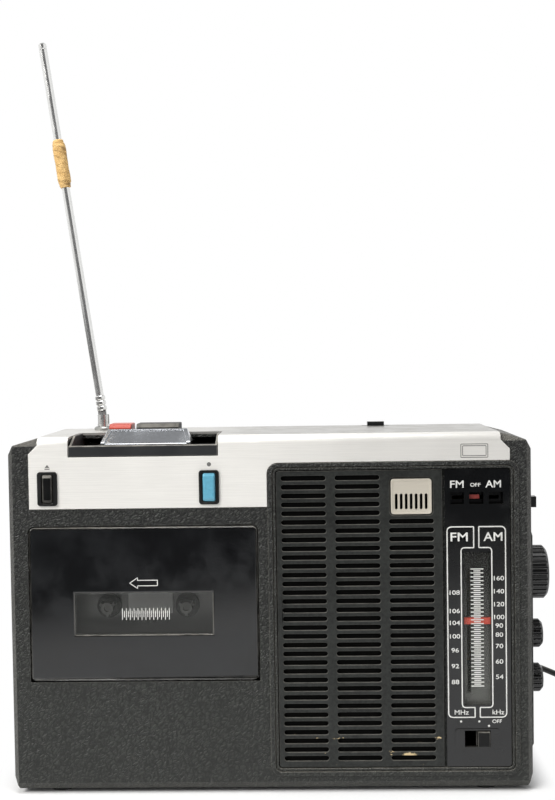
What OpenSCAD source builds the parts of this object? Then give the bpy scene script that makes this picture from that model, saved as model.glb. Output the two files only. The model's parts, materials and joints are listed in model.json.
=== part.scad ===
// Radio cassette recorder: a table-top mains and battery portable with a cassette deck on the
// left, a loudspeaker grille and a tuning dial on the right, and tape keys on the top.
// Millimetres, +Z up. The front faces -Y and the origin is on the table, under the middle of the whole.

/* [Case] */
// Width of the case across its sides
body_w = 275.3; // [270:0.1:300]
// Height of the case from its underside to the top of the trim
body_h = 187.4; // [184:0.1:200]
// Depth of the case from front to back
body_d = 80; // [79:1:100]
// Wall of the case mouldings
wall = 2.5; // [2.2:0.1:3]
// Depth of the front moulding behind the front face
front_shell_d = 52; // [51:0.5:54]
// Width of the bevel round the front face
bevel_w = 2.7; // [1:0.1:3]
// Depth of the bevel round the front face
bevel_d = 3; // [2:0.1:4]
// Height of the bevel along the front's lower edge
sill_h = 3.6; // [2:0.1:5]
// Depth of the bevel along the front's lower edge
sill_d = 2; // [1:0.1:3]
// Chamfer along the back edges
back_chamfer = 3; // [1:0.5:4]
// Length of the sloping shoulder at each end of the top
shoulder_w = 16; // [14:0.5:18]
// Height of the shoulder's steep part below the top
shoulder_h = 8.5; // [7:0.5:10]
// Width of the lower corners' chamfer
foot_corner = 2.7; // [2:0.1:4]
// Height of the lower corners' chamfer
foot_rise = 6.4; // [3:0.1:8]
// Height of the rubber feet
foot_h = 2.5; // [2:0.5:4]
// Diameter of the rubber feet
foot_d = 14; // [10:1:18]
// Inset of the feet from the sides of the case
foot_inset = 24; // [18:1:30]
// Side clearance between seated pieces
fit = 0.2; // [0.1:0.05:0.3]
// Radial clearance of a shaft in its bearing
run_fit = 0.05; // [0.02:0.01:0.1]
// Gap between a moving piece and its neighbour
gap = 0.4; // [0.3:0.05:0.5]

/* [Trim] */
// Thickness of the aluminium trim
trim_t = 1.2; // [1:0.1:1.5]
// How far the trim stands proud of the case
trim_proud = 0.6; // [0.3:0.1:0.7]
// Distance of the trim from the sides of the case
trim_side = 11.5; // [9:0.1:12]
// Height of the trim's left part
trim_left_h = 37.8; // [37:0.1:39]
// Height of the trim's right part
trim_right_h = 14.7; // [13:0.1:16]
// Radius of the rolled top edge
roll_r = 4; // [3:0.1:5]
// Width of the rolled edge's flange on the top
flange_w = 3; // [2:0.5:4]
// Chamfer of the trim's upper corners
trim_corner = 4.7; // [3:0.1:6]

/* [Tape keys and buttons] */
// Distance of the key tray from the left side
tray_left = 32.6; // [31:0.1:34]
// Width of the key tray
tray_w = 78.8; // [76:0.1:80]
// Depth of the key tray behind the front face
tray_d = 35; // [34:0.5:37]
// Height of the key tray's front below the top
tray_h = 10.4; // [10:0.1:11]
// Height of the tray's front lip
lip_h = 5.8; // [5:0.1:6]
// Wall of the key tray
tray_t = 1.5; // [1.2:0.1:2]
// Diameter of the key shaft
key_shaft_d = 4; // [3:0.5:4]
// Width of the play key at its foot
play_w = 47.6; // [40:0.1:48]
// Width of the play key at its top
play_top_w = 42.4; // [36:0.2:43]
// Width of the stop key
stop_w = 11.9; // [11:0.1:14]
// Width of the wind key
wind_w = 23.1; // [20:0.1:25]
// Height of the keys above the top
key_rise = 3.2; // [2:0.1:5]
// Width of a push-button bezel
bezel_w = 10.6; // [9:0.2:11]
// Height of a push-button bezel
bezel_h = 18; // [17:0.2:19]
// Height of the bezels' middle below the top
bezel_drop = 27; // [26:0.2:28]
// Distance of the eject button from the left side
eject_left = 21.4; // [20:0.2:24]
// Distance of the record button from the left side
record_left = 106.6; // [104:0.2:110]
// Width of the eject button
eject_w = 5.6; // [5:0.1:6.5]
// Width of the record button
record_w = 6.6; // [5:0.1:7]
// Height of the push buttons
button_h = 14.8; // [13:0.1:15]
// Travel of the push buttons
button_travel = 3; // [2:0.5:4]

/* [Cassette deck] */
// Distance of the cassette door from the left side
door_left = 10.8; // [10:0.1:12]
// Width of the cassette door
door_w = 120.7; // [119:0.1:122]
// Height of the cassette door
door_h = 81.7; // [81:0.1:83]
// Height of the door's upper edge below the top
door_drop = 47.6; // [46:0.1:48]
// Radius of the door's corners
door_r = 3; // [2:0.5:5]
// Thickness of the door panel
door_t = 3; // [2.6:0.1:3.2]
// How far the door's pane stands proud of the case
door_proud = 0.8; // [0.3:0.1:1]
// Bevel round the front of the door's pane
pane_bevel = 0.8; // [0.4:0.1:1]
// Width of the door's window
window_w = 73.7; // [60:0.1:80]
// Height of the door's window
window_h = 23; // [18:0.1:26]
// Height of the window's middle below the door's upper edge
window_drop = 46; // [44:0.1:48]
// Thickness of the door's pane
pane_t = 2; // [1.6:0.1:2.2]
// Depth of the window's step in the pane
window_step = 0.8; // [0.3:0.1:1]
// Width of the sloping edge round the window's step
window_slope = 0.9; // [0.4:0.1:1.5]
// Distance between the two reel spindles
reel_pitch = 42.5; // [42:0.1:43]
// Height of the spindles below the door's upper edge
reel_drop = 45.2; // [45:0.1:47]
// Width of a cassette
tape_w = 100.4; // [99:0.1:101]
// Depth of the deck plate's face behind the front face
deck_d = 20; // [20:0.5:22]
// Thickness of the deck plate
deck_t = 1.5; // [1:0.1:2]
// Diameter of the capstan
capstan_d = 2.4; // [2:0.1:3]
// Diameter of the flywheel
flywheel_d = 50; // [40:1:54]
// Thickness of the flywheel
flywheel_t = 6; // [4:0.5:7]
// Diameter of the motor
motor_d = 30; // [24:1:32]
// Diameter of the motor pulley
pulley_d = 9; // [7:0.5:12]
// Diameter of the pinch roller
pinch_d = 10; // [8:0.5:12]
// Travel of the head bridge
bridge_travel = 6; // [5:0.5:6]

/* [Grille and dial] */
// Distance of the grille and dial inset from the right side
inset_right = 11.1; // [11:0.1:14]
// Width of the inset
inset_w = 123; // [120:0.1:124]
// Height of the inset's lower edge above the underside
inset_bottom = 10.6; // [8:0.1:12]
// Radius of the inset's corners
inset_r = 1.8; // [1:0.1:4]
// Gap round the inset panels
inset_gap = 0.5; // [0.2:0.05:0.6]
// Thickness of the inset panels
panel_t = 1.4; // [1.2:0.1:1.5]
// Width of the ridge round the inset
ridge_w = 4; // [3:0.1:4.4]
// Height of the ridge
ridge_h = 0.8; // [0.4:0.1:1.2]
// Width of the bead inside the ridge
bead_w = 1.2; // [0.8:0.1:1.4]
// Height of the bead
bead_h = 0.45; // [0.2:0.05:0.7]
// Width of the dial panel
dial_w = 34.3; // [33:0.1:36]
// Distance of the dial's middle from the inset's right edge
dial_mid = 17.9; // [17.5:0.1:18.2]
// Length of a grille slot
slot_w = 23.5; // [18:0.1:24]
// Height of a grille slot
slot_h = 2.6; // [1.4:0.1:2.8]
// Spacing of the slot columns
column_pitch = 28.2; // [26:0.1:28.5]
// Spacing of the slot rows
row_pitch = 4.64; // [4:0.02:5]
// Number of slot columns
columns = 3; // [2:1:3]
// Width of the microphone plate
mic_w = 21.2; // [16:0.1:22]
// Height of the microphone plate
mic_h = 18.5; // [15:0.1:21]
// Diameter of the loudspeaker
speaker_d = 89; // [80:1:90]
// Width of the dial slot
dial_slot_w = 14; // [10:0.1:15]
// Length of the dial slot
dial_slot_h = 81; // [70:1:84]
// Height of the dial slot's lower end above the underside
dial_slot_up = 43.6; // [40:0.1:46]
// Height of the dial pointer
pointer_h = 3.4; // [2:0.1:5]
// Height of the pointer above the slot's lower end
pointer_up = 44.2; // [38:0.1:48]
// Travel of the pointer, the length of the dial's scale
pointer_travel = 61.9; // [50:0.1:64]
// Width of a band window
band_w = 7.4; // [5:0.1:8]
// Height of a band window
band_h = 6.4; // [5:0.1:8]
// Spacing of the band windows
band_pitch = 10.2; // [9.6:0.1:10.4]
// Height of the band windows' middle above the underside
band_up = 152.9; // [148:0.1:154]
// Width of the level switch's knob
level_w = 6.4; // [4:0.1:7]
// Height of the level switch's knob
level_h = 8; // [6:0.1:9]
// Travel of the level switch
level_travel = 6.3; // [5:0.1:7]
// Height of the level switch above the underside
level_up = 25.9; // [22:0.1:27]

/* [Side controls] */
// Depth of the knobs' axes behind the front face
knob_back = 34; // [33:0.5:35]
// Height of the raised pad on the right side
pad_h = 1.2; // [0.4:0.1:1.2]
// Diameter of the tuning knob
tuning_d = 29; // [26:0.5:32]
// Length of the tuning knob
tuning_l = 11.2; // [10:0.1:14]
// Height of the tuning knob above the underside
tuning_up = 107.9; // [105:0.1:112]
// Diameter of the volume and tone knobs
small_d = 15.5; // [14:0.5:18]
// Length of the volume and tone knobs
small_l = 9; // [8:0.5:12]
// Height of the volume knob above the underside
volume_up = 73.8; // [73:0.1:78]
// Height of the tone knob above the underside
tone_up = 49.2; // [48:0.2:54]
// Diameter of the control shafts
shaft_d = 6; // [5:0.5:6]
// Height of the band switch above the underside
nub_up = 148.9; // [145:0.1:152]
// Width of the band switch's nub
nub_w = 5.7; // [4:0.1:7]
// Travel of the band switch to each side
nub_travel = 5; // [4:0.5:5]

/* [Aerial] */
// Distance of the aerial from the left side
aerial_left = 41.1; // [38:0.1:46]
// Distance of the aerial behind the case's parting line
aerial_behind = 10; // [9:0.5:11]
// Height of the tilt pivot above the top
pivot_up = 6.5; // [6:0.1:8]
// Length of the folded aerial from the pivot to its tip
aerial_l = 217; // [200:1:225]
// Lean of the aerial to the left, in degrees
aerial_lean = 8.2; // [0:0.1:15]
// Outside diameter of the aerial's tube
aerial_d = 4.6; // [4.4:0.1:5]
// Diameter of the aerial's middle section
middle_d = 3.6; // [3.4:0.1:3.7]
// Diameter of the aerial's innermost rod
rod_d = 2.7; // [2.4:0.1:2.8]
// Distance of the tape wrap from the pivot
tape_from = 134; // [120:1:145]
// Length of the tape wrap
tape_l = 27.5; // [20:0.5:32]
// Outside diameter of the tape wrap
wrap_d = 7.8; // [6:0.2:9]

/* [Battery bay and cord] */
// Width inside the battery bay
bay_w = 110.8; // [106:0.1:112]
// Height inside the battery bay
bay_h = 58; // [54:0.5:58]
// Depth inside the battery bay
bay_d = 27.5; // [26:0.5:28]
// Thickness of the battery door
bay_door_t = 2; // [1.8:0.1:2.2]
// Outside diameter of the mains cord
cord_d = 3.6; // [3.4:0.1:3.8]
// Distance of the coil to the right of the cord's exit
coil_reach = 146; // [144:1:150]
// Distance of the plug to the right of the cord's exit
plug_reach = 110; // [106:1:112]
// Turns in the coil of spare cord
coil_turns = 11.5; // [10.5:1:12.5]
// Radius of the coil at its outer turn
coil_r = 27.6; // [26:0.2:30]

/* [Hidden] */
$fn = 64;

// How far a cutter reaches past the face it opens
over = 1;

// Reach of the largest knob past the right side and of the switch knob past the front
knob_air = 0.5;
side_reach = pad_h + knob_air + tuning_l;
front_reach = 2.2;

// Case faces
xl = -(body_w + side_reach) / 2;
xr = xl + body_w;
yf = -(body_d - front_reach) / 2;
yb = yf + body_d;
x_mid = (xl + xr) / 2;
y_part = yf + front_shell_d;
z_case = foot_h;
z_top = foot_h + body_h;
z_case_top = z_top - trim_proud;
y_inner = yf + wall;
x_inner = xr - wall;
z_inner_top = z_case_top - wall;

// Trim
trim_x0 = xl + trim_side;
trim_x1 = xr - trim_side;
trim_back = yf - trim_proud + trim_t;
roll_y = yf - trim_proud + roll_r;
roll_z = z_top - roll_r;
top_x0 = trim_x0 + trim_corner;
top_x1 = trim_x1 - trim_corner;
top_y0 = roll_y + flange_w + 2 * gap;
top_y1 = yb - back_chamfer - trim_t;

// Grille and dial inset
inset_x1 = xr - inset_right;
inset_x0 = inset_x1 - inset_w;
inset_z0 = z_case + inset_bottom;
inset_z1 = z_top - trim_right_h - ridge_w;
ledge = 2.4;
pocket_d = panel_t + 0.1;
dial_x0 = inset_x1 - dial_w;
dial_cx = inset_x1 - dial_mid;
web_w = 5;
trim_step_x = inset_x0 - ridge_w - 0.3;
step_r = inset_r + ridge_w;
groove_w = 0.5;
groove_d = 0.2;

// Key tray and keys
tray_x0 = xl + tray_left;
tray_x1 = tray_x0 + tray_w;
tray_z0 = z_top - tray_h;
tray_floor = tray_z0 + tray_t;
lip_z = tray_z0 + lip_h;
lip_back = trim_back + tray_t;
tray_y1 = yf + tray_d;
shaft_y = tray_y1 + 9;
hub_d = key_shaft_d + 3;
shaft_z = z_inner_top - hub_d / 2 - 1.4;
cheek_y1 = shaft_y + key_shaft_d / 2 + 2.5;
cheek_z0 = shaft_z - key_shaft_d / 2 - 3;
floor_y1 = shaft_y - hub_d / 2 - 1.5;
play_cx = tray_x0 + 40.4;
play_y0 = lip_back + 1.5;
play_z0 = lip_z - 0.6;
lever_z = z_inner_top - 1;
play_y1 = play_y0 + 12;
face_step = 0.6;
top_edge = 1;
flank_w = 2.2;
key_z1 = z_top + key_rise;
rear_key_y0 = play_y1 + 2.4;
rear_key_y1 = tray_y1 - 1.2;
rear_key_z1 = key_z1 + 2.4;
stop_x0 = play_cx - play_w / 2 + 2.3;
wind_x0 = stop_x0 + stop_w + 2.8;
lever_w = 4;
play_lever_x = play_cx + play_w / 2 - lever_w - 0.5;
stop_lever_x = stop_x0 + stop_w / 2 - lever_w / 2;
wind_lever_x = wind_x0 + wind_w / 2 - lever_w / 2;

// Push buttons
bezel_z = z_top - bezel_drop;
eject_x = xl + eject_left;
record_x = xl + record_left;
bezel_r = 1.6;
button_r = 1.2;
crown_y = yf - 2;
crown_h = 0.8;

// Cassette deck
door_x0 = xl + door_left;
door_x1 = door_x0 + door_w;
door_cx = (door_x0 + door_x1) / 2;
door_z1 = z_top - door_drop;
door_z0 = door_z1 - door_h;
door_y0 = yf - door_proud;
pane_y1 = door_y0 + pane_t;
door_y1 = yf + door_t;
hinge_pin_d = 3;
hinge_y = yf + 5.5;
hinge_z = door_z0 + 3.5;
hinge_round = hinge_y - door_y0 + 0.05;
hinge_swing = hinge_round + gap;
hinge_pin_l = 2.6;
window_z = door_z1 - window_drop;
reel_z = door_z1 - reel_drop;
deck_y = yf + deck_d;
deck_back = deck_y + deck_t;
well_t = 2;
well_x0 = door_x0 - 0.8;
well_x1 = door_x1 + 0.8;
well_z0 = hinge_z - hinge_swing - gap;
well_z1 = door_z1 + 1;
rail_y1 = deck_y - 4;
rail_w = 4;
supply_x = door_cx + reel_pitch / 2;
takeup_x = door_cx - reel_pitch / 2;
capstan_off = 25;
capstan_x = door_cx - capstan_off;
capstan_z = reel_z + capstan_off;
flywheel_y = deck_back + 20.5;
bearing_l = 18.5;
motor_x = door_x1 - 21;
motor_z = reel_z + 20;
motor_l = 18.5;
pinch_z = capstan_z + capstan_d / 2 + pinch_d / 2 + gap + bridge_travel;
bridge_z0 = capstan_z + capstan_d / 2 + gap + bridge_travel;
bridge_z1 = door_z1 - 1.7;
bridge_half = 41;
guide_pin_d = 2.4;
guide_pin_z = bridge_z0 + 2.8;
bridge_y0 = deck_y - 1.8;
bridge_y1 = deck_y - 0.3;
head_z0 = bridge_z0 + 3.9;
tape_z0 = hinge_z + 4;

// Side controls
knob_y = yf + knob_back;
tuning_z = z_case + tuning_up;
volume_z = z_case + volume_up;
tone_z = z_case + tone_up;
pad_x = xr + pad_h;
pad_z0 = tone_z - 28.1;
pad_z1 = tuning_z + 24;
bush_d = shaft_d + 2.2;
nub_y = yf + 16;
nub_z = z_case + nub_up;
slider_x = xr - 77.2;
slider_y = yb - 9;

// Aerial
aerial_x = xl + aerial_left;
aerial_y = y_part + aerial_behind;
pivot_z = z_top + pivot_up;
knuckle_d = 7;
knuckle_stem_d = 5;
collar_d = 10.5;
blade_t = 3;
pin_d = 2;
tube_from = 5;
ferrule_d = 5.8;
ferrule_rings = 3;
ferrule_pitch = 3;
cap_l = 3.5;

// Battery bay
bay_x0 = xl + 16.6;
bay_x1 = bay_x0 + bay_w;
bay_z0 = z_case + 4.4;
bay_z1 = bay_z0 + bay_h;
bay_y1 = yb - wall;
bay_y0 = bay_y1 - bay_d;
bay_t = 1.5;
bay_pin_d = 1.6;
bay_hinge_y = yb - 1.3;
bay_hinge_z = bay_z0 + 1.6;

// Mains cord: exit, hand-chosen points of the free run, and the coil beside the case
exit_x = xr - 25.6;
exit_z = z_case + 45.9;
relief_l = 26;
relief_tip_d = 6;
coil_x = exit_x + coil_reach;
coil_y = yb + 20;
coil_z = cord_d / 2 + 0.7;
route_shape = [[0, 0, 1], [0, 8, 1], [1, 16, 0.985], [5, 23, 0.955], [12, 28, 0.905], [21, 29.5, 0.845],
    [32, 28.5, 0.775], [44, 26.5, 0.7], [55, 25, 0.618], [65, 24, 0.528], [77, 23, 0.402], [90, 22.3, 0.25],
    [102, 22, 0.119], [114, 21.8, 0.03], [125, 21.8, 0.002]];
coil_pitch = cord_d + 0.45;
coil_layers = 4;
coil_rings = 24;
plug_x = exit_x + plug_reach;
plug_z = 7.5;
cord_start = [coil_x - cord_d, coil_y + coil_r, coil_z];
cord_route = concat([for (p = route_shape) [exit_x + p[0], yb + relief_l + p[1] * (coil_y + coil_r - yb -
    relief_l) / 21.6,
    coil_z + p[2] * (exit_z - coil_z)]], [cord_start - [6, 0, 0], cord_start]);

// A prism along Y between two depths, from a shape drawn as (x, z)
module prism_y(y0, y1) {
    translate([0, y1, 0]) rotate([90, 0, 0]) linear_extrude(height = y1 - y0) children();
}

// A prism along X between two places, from a shape drawn as (y, z)
module prism_x(x0, x1) {
    translate([x0, 0, 0]) rotate([90, 0, 90]) linear_extrude(height = x1 - x0) children();
}

// A box between two corners
module box(x0, x1, y0, y1, z0, z1) {
    translate([x0, y0, z0]) cube([x1 - x0, y1 - y0, z1 - z0]);
}

// Round rods along each axis
module rod_x(y, z, x0, x1, d) {
    translate([x0, y, z]) rotate([0, 90, 0]) cylinder(d = d, h = x1 - x0);
}
module rod_y(x, z, y0, y1, d) {
    translate([x, y0, z]) rotate([-90, 0, 0]) cylinder(d = d, h = y1 - y0);
}
module rod_z(x, y, z0, z1, d) {
    translate([x, y, z0]) cylinder(d = d, h = z1 - z0);
}

// A flat rectangle with round corners
module round_rect(x0, x1, z0, z1, r) {
    translate([x0 + r, z0]) square([x1 - x0 - 2 * r, z1 - z0]);
    translate([x0, z0 + r]) square([x1 - x0, z1 - z0 - 2 * r]);
    for (x = [x0 + r, x1 - r], z = [z0 + r, z1 - r]) translate([x, z]) circle(r = r);
}

// A plate with round corners between two depths
module round_plate(x0, x1, z0, z1, r, y0, y1) {
    prism_y(y0, y1) round_rect(x0, x1, z0, z1, r);
}

// Front view of the case, drawn in by a margin
function case_outline(d) = let (
    half = body_w / 2 - d,
    top = z_case_top - d,
    low = z_case + d,
    right = [[half - foot_corner, low], [half, low + foot_rise], [half, top - shoulder_h],
        [half - 3, top - 3.5], [half - shoulder_w, top]]
) [for (i = [0:9]) i < 5 ? [x_mid + right[i][0], right[i][1]] : [x_mid - right[9 - i][0], right[9 - i][1]]];

// Side view of the case with its front bevel and back chamfer
function case_profile() = [[yf, z_case + sill_h], [yf + sill_d, z_case], [yb - back_chamfer, z_case],
    [yb, z_case + back_chamfer], [yb, z_case_top - back_chamfer], [yb - back_chamfer, z_case_top],
    [yf + roll_r, z_case_top], [yf, z_case_top - roll_r]];

// Plan of the case with its front bevel and back chamfer
function case_plan() = [[xl, yf + bevel_d], [xl + bevel_w, yf], [xr - bevel_w, yf], [xr, yf + bevel_d],
    [xr, yb - back_chamfer], [xr - back_chamfer, yb], [xl + back_chamfer, yb], [xl, yb - back_chamfer]];

// The case's outer form between two depths
module case_form(y0, y1) {
    intersection() {
        prism_y(y0, y1) polygon(case_outline(0));
        prism_x(xl - over, xr + over) polygon(case_profile());
        linear_extrude(height = z_top + over) polygon(case_plan());
    }
}

// The room inside the case between two depths
module case_room(y0, y1) {
    prism_y(y0, y1) polygon(case_outline(wall));
}

// Outline of the L-shaped trim's flat part, grown by a margin
function trim_outline(g) = [[trim_x0 - g, z_top - trim_left_h - g],
    [trim_step_x + g, z_top - trim_left_h - g],
    [trim_step_x + g, z_top - trim_right_h - g], [trim_x1 + g, z_top - trim_right_h - g],
    [trim_x1 + g, z_top - trim_corner - roll_r], [top_x1 + g, roll_z], [top_x0 - g, roll_z],
    [trim_x0 - g, z_top - trim_corner - roll_r]];

// The trim's flat part with the round inner corner of its step
module trim_shape(g) {
    r = step_r - g;
    x = trim_step_x + g;
    z = z_top - trim_right_h - g;
    polygon(trim_outline(g));
    difference() {
        translate([x - over, z - r]) square([r + over, r + over]);
        translate([x + r, z - r]) circle(r = r);
    }
}

// A plate of the inset's form, grown by a margin, between two depths
module inset_plate(g, y0, y1) {
    round_plate(inset_x0 - g, inset_x1 + g, inset_z0 - g, inset_z1 + g, inset_r + g, y0, y1);
}

// Places of the case screws
function screw_places() = [for (x = [xl + wall + 3.5, x_inner - 3.5], z = [z_case + 14, z_top - 24]) [x, z]];

module screw_bosses(y0, y1) {
    for (p = screw_places()) rod_y(p[0], p[1], y0, y1, 8);
}

// Front moulding with its openings, pockets, ridge and side pad
module front_case() {
    color("#3a3c3a") difference() {
        union() {
            difference() {
                case_form(yf, y_part);
                case_room(y_inner, y_part + over);
            }
            inset_plate(ridge_w, yf - ridge_h, yf + over);
            prism_y(yf + 6, y_part - 4) polygon([[xr - over, pad_z0 - 2], [xr, pad_z0 - 2], [pad_x, pad_z0],
                [pad_x, pad_z1], [xr, pad_z1 + 4], [xr - over, pad_z1 + 4]]);
            screw_bosses(y_part - 27, y_part);
        }
        // Trim pockets in the front and the top
        prism_y(yf - over, trim_back) trim_shape(fit);
        box(top_x0 - fit, top_x1 + fit, yf - over, trim_back, roll_z - over, z_top + over);
        box(top_x0 - fit, top_x1 + fit, yf - over, y_part + over, z_top - trim_t, z_top + over);
        // Bead inside the ridge and the groove round it
        inset_plate(bead_w + groove_w, yf - ridge_h - over, yf - bead_h);
        difference() {
            inset_plate(bead_w + groove_w, yf - ridge_h - over, yf + groove_d);
            inset_plate(bead_w, yf - ridge_h - 2 * over, yf + groove_d + over);
        }
        // Inset pocket and the two openings behind the panels
        inset_plate(0, yf - ridge_h - over, yf + pocket_d);
        box(inset_x0 + ledge, dial_x0 - web_w / 2, yf, y_inner + over, inset_z0 + ledge, inset_z1 - ledge);
        box(dial_x0 + web_w / 2 - 0.6, inset_x1 - ledge, yf, y_inner + over, inset_z0 + ledge,
            inset_z1 - ledge);
        // Cassette door opening and the sweep of the door's lower edge
        round_plate(door_x0 - gap, door_x1 + gap, door_z0 - gap, door_z1 + gap, door_r, yf - over,
            y_inner + over);
        rod_x(hinge_y, hinge_z, door_x0 - gap, door_x1 + gap, 2 * hinge_swing);
        // Key tray notch
        box(tray_x0 - fit, tray_x1 + fit, yf - over, tray_y1 + fit, tray_z0 - fit, z_top + over);
        // Push-button bezels
        for (x = [eject_x, record_x])
            box(x - bezel_w / 2 + 1 - fit, x + bezel_w / 2 - 1 + fit, yf - over, y_inner + over,
                bezel_z - bezel_h / 2 + 1 - fit, bezel_z + bezel_h / 2 - 1 + fit);
        // Control bushes and the band switch's slot
        for (z = [tuning_z, volume_z, tone_z]) rod_x(knob_y, z, x_inner - over, pad_x + over,
            bush_d + 2 * fit);
        box(x_inner - over, xr + over, nub_y - nub_w / 2 - nub_travel - gap,
            nub_y + nub_w / 2 + nub_travel + gap,
            nub_z - nub_w / 2 - gap, nub_z + nub_w / 2 + gap);
        for (p = screw_places()) rod_y(p[0], p[1], y_part - 20, y_part + over, 3.2);
    }
}

// Back moulding with the battery opening, screw posts and board posts
module rear_case() {
    color("#343634") difference() {
        union() {
            difference() {
                case_form(y_part, yb);
                case_room(y_part - over, yb - wall);
            }
            screw_bosses(y_part, yb - wall);
            for (p = board_posts()) rod_y(p[0], p[1], board_y1, yb - wall + over, 6);
        }
        box(top_x0 - fit, top_x1 + fit, y_part - over, top_y1 + fit, z_top - trim_t, z_top + over);
        box(bay_x0, bay_x1, bay_y1 - over, yb + over, bay_z0, bay_z1);
        for (x = [[bay_x0 - 1.8, bay_x0 + over], [bay_x1 - over, bay_x1 + 1.8]])
            rod_x(bay_hinge_y, bay_hinge_z, x[0], x[1], bay_pin_d + 2 * run_fit);
        for (p = screw_places()) {
            rod_y(p[0], p[1], y_part - over, yb + over, 3.6);
            rod_y(p[0], p[1], yb - 3.2, yb + over, 7.6);
        }
        rod_y(exit_x, exit_z, yb - wall - over, yb + over, 8 + 2 * fit);
        rod_z(aerial_x, aerial_y, z_inner_top - over, z_top, 8 + 2 * fit);
        box(slider_x - 8, slider_x + 8, slider_y - 1.8, slider_y + 1.8, z_inner_top - over, z_top);
        // Vents behind the loudspeaker
        for (i = [0:6]) box(speaker_x - 30, speaker_x + 30, yb - wall - over, yb + over,
            z_case + 118 + i * 6, z_case + 120.5 + i * 6);
        // Notch for the jack block at the parting line
        box(xl - over, xl + wall + over, y_part - over, y_part + jack_d + fit, jack_z0 - fit, jack_z1 + fit);
    }
}

// L-shaped aluminium trim with its rolled top edge
module front_trim() {
    color("#cfccc4") difference() {
        union() {
            prism_y(yf - trim_proud, trim_back) trim_shape(0);
            intersection() {
                difference() {
                    rod_x(roll_y, roll_z, top_x0, top_x1, 2 * roll_r);
                    rod_x(roll_y, roll_z, top_x0 - over, top_x1 + over, 2 * (roll_r - trim_t));
                }
                box(top_x0, top_x1, yf - trim_proud, roll_y, roll_z, z_top);
            }
            box(top_x0, top_x1, roll_y, roll_y + flange_w, z_top - trim_t, z_top);
        }
        box(tray_x0 - fit, tray_x1 + fit, yf - 2 * over, tray_y1, tray_z0 - fit, z_top + over);
        for (x = [eject_x, record_x])
            box(x - bezel_w / 2 + 1 - fit, x + bezel_w / 2 - 1 + fit, yf - 2 * over, y_inner,
                bezel_z - bezel_h / 2 + 1 - fit, bezel_z + bezel_h / 2 - 1 + fit);
    }
}

// Bright top plate with room for the keys, the aerial and the slider
module top_trim() {
    color("#d8d6d0") difference() {
        box(top_x0, top_x1, top_y0, top_y1, z_top - trim_t, z_top);
        box(tray_x0 - fit, tray_x1 + fit, top_y0 - over, tray_y1 + fit, z_top - 2 * trim_t, z_top + over);
        rod_z(aerial_x, aerial_y, z_top - 2 * trim_t, z_top + over, 8 + 2 * fit);
        box(slider_x - 8, slider_x + 8, slider_y - 1.8, slider_y + 1.8, z_top - 2 * trim_t, z_top + over);
    }
}

// Black channel for the tape keys, with the cheeks that hold the key shaft
module key_tray() {
    cheek = [[yf - trim_proud, tray_z0], [floor_y1, tray_z0], [floor_y1, cheek_z0], [cheek_y1, cheek_z0],
        [cheek_y1, z_inner_top - gap],
        [tray_y1, z_inner_top - gap], [tray_y1, z_top], [yf + 14, z_top], [lip_back, lip_z],
            [yf - trim_proud, lip_z]];
    color("#1b1b1c") difference() {
        union() {
            for (x = [tray_x0, tray_x1 - tray_t]) prism_x(x, x + tray_t) polygon(cheek);
            box(tray_x0, tray_x1, yf - trim_proud, floor_y1, tray_z0, tray_floor);
            box(tray_x0, tray_x1, yf - trim_proud, lip_back, tray_z0, lip_z);
        }
        rod_x(shaft_y, shaft_z, tray_x0 - over, tray_x1 + over, key_shaft_d + 2 * run_fit);
        // Slots for the three levers
        for (l = [[play_lever_x, play_y1], [stop_lever_x, rear_key_y0 + 3], [wind_lever_x, rear_key_y0 + 3]])
            box(l[0] - 0.6, l[0] + lever_w + 0.6, l[1] - 3, floor_y1 + over, tray_z0 - over,
                tray_floor + over);
    }
}

module key_shaft() {
    color("#b9bcc0") rod_x(shaft_y, shaft_z, tray_x0 + 0.3, tray_x1 - 0.3, key_shaft_d);
}

// A lever from a key cap to its hub on the shaft
module key_lever(x0, y0) {
    difference() {
        union() {
            rod_x(shaft_y, shaft_z, x0, x0 + lever_w, hub_d);
            box(x0, x0 + lever_w, y0, shaft_y, shaft_z, lever_z);
        }
        rod_x(shaft_y, shaft_z, x0 - over, x0 + lever_w + over, key_shaft_d + 2 * run_fit);
    }
}

// Wide bright play key with a sunk sloping face between two flanks
module play_key() {
    half = play_w / 2;
    half_top = play_top_w / 2;
    low = [play_y0 + 0.6, play_z0 + 2.2];
    high = [play_y1 - 2, key_z1];
    up = (high - low) / norm(high - low);
    in = [up[1], -up[0]];
    front = [[play_y0, play_z0], [play_y1, play_z0], [play_y1, key_z1], high, low, [play_y0, play_z0 + 1.6]];
    sunk = [low - 2 * up + face_step * in, high - top_edge * up + face_step * in,
        high - top_edge * up - over * in,
        low - 2 * up - over * in];
    color("#b9bbbd") union() {
        difference() {
            intersection() {
                prism_x(play_cx - half, play_cx + half) polygon(front);
                prism_y(play_y0 - over, play_y1 + over) play_taper(half, half_top, play_z0 + 2);
            }
            intersection() {
                prism_x(play_cx - half, play_cx + half) polygon(sunk);
                prism_y(play_y0 - over, play_y1 + over) play_taper(half - flank_w, half_top - flank_w,
                    play_z0 + 2);
            }
        }
        key_lever(play_lever_x, play_y1 - 2);
    }
}

// Front view of the play key: straight up to a height and tapering above it
module play_taper(half, half_top, z) {
    polygon([[play_cx - half, play_z0], [play_cx + half, play_z0], [play_cx + half, z],
        [play_cx + half_top, key_z1],
        [play_cx - half_top, key_z1], [play_cx - half, z]]);
}

// A key of the rear row between two places, with a sloping front edge
module rear_key(x0, w, lever_x) {
    profile = [[rear_key_y0, play_z0], [rear_key_y1, play_z0], [rear_key_y1, rear_key_z1 - 0.8],
        [rear_key_y1 - 0.8, rear_key_z1], [rear_key_y0 + 2, rear_key_z1], [rear_key_y0, rear_key_z1 - 2]];
    union() {
        prism_x(x0, x0 + w) polygon(profile);
        key_lever(lever_x, rear_key_y0 + 3);
    }
}

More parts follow.
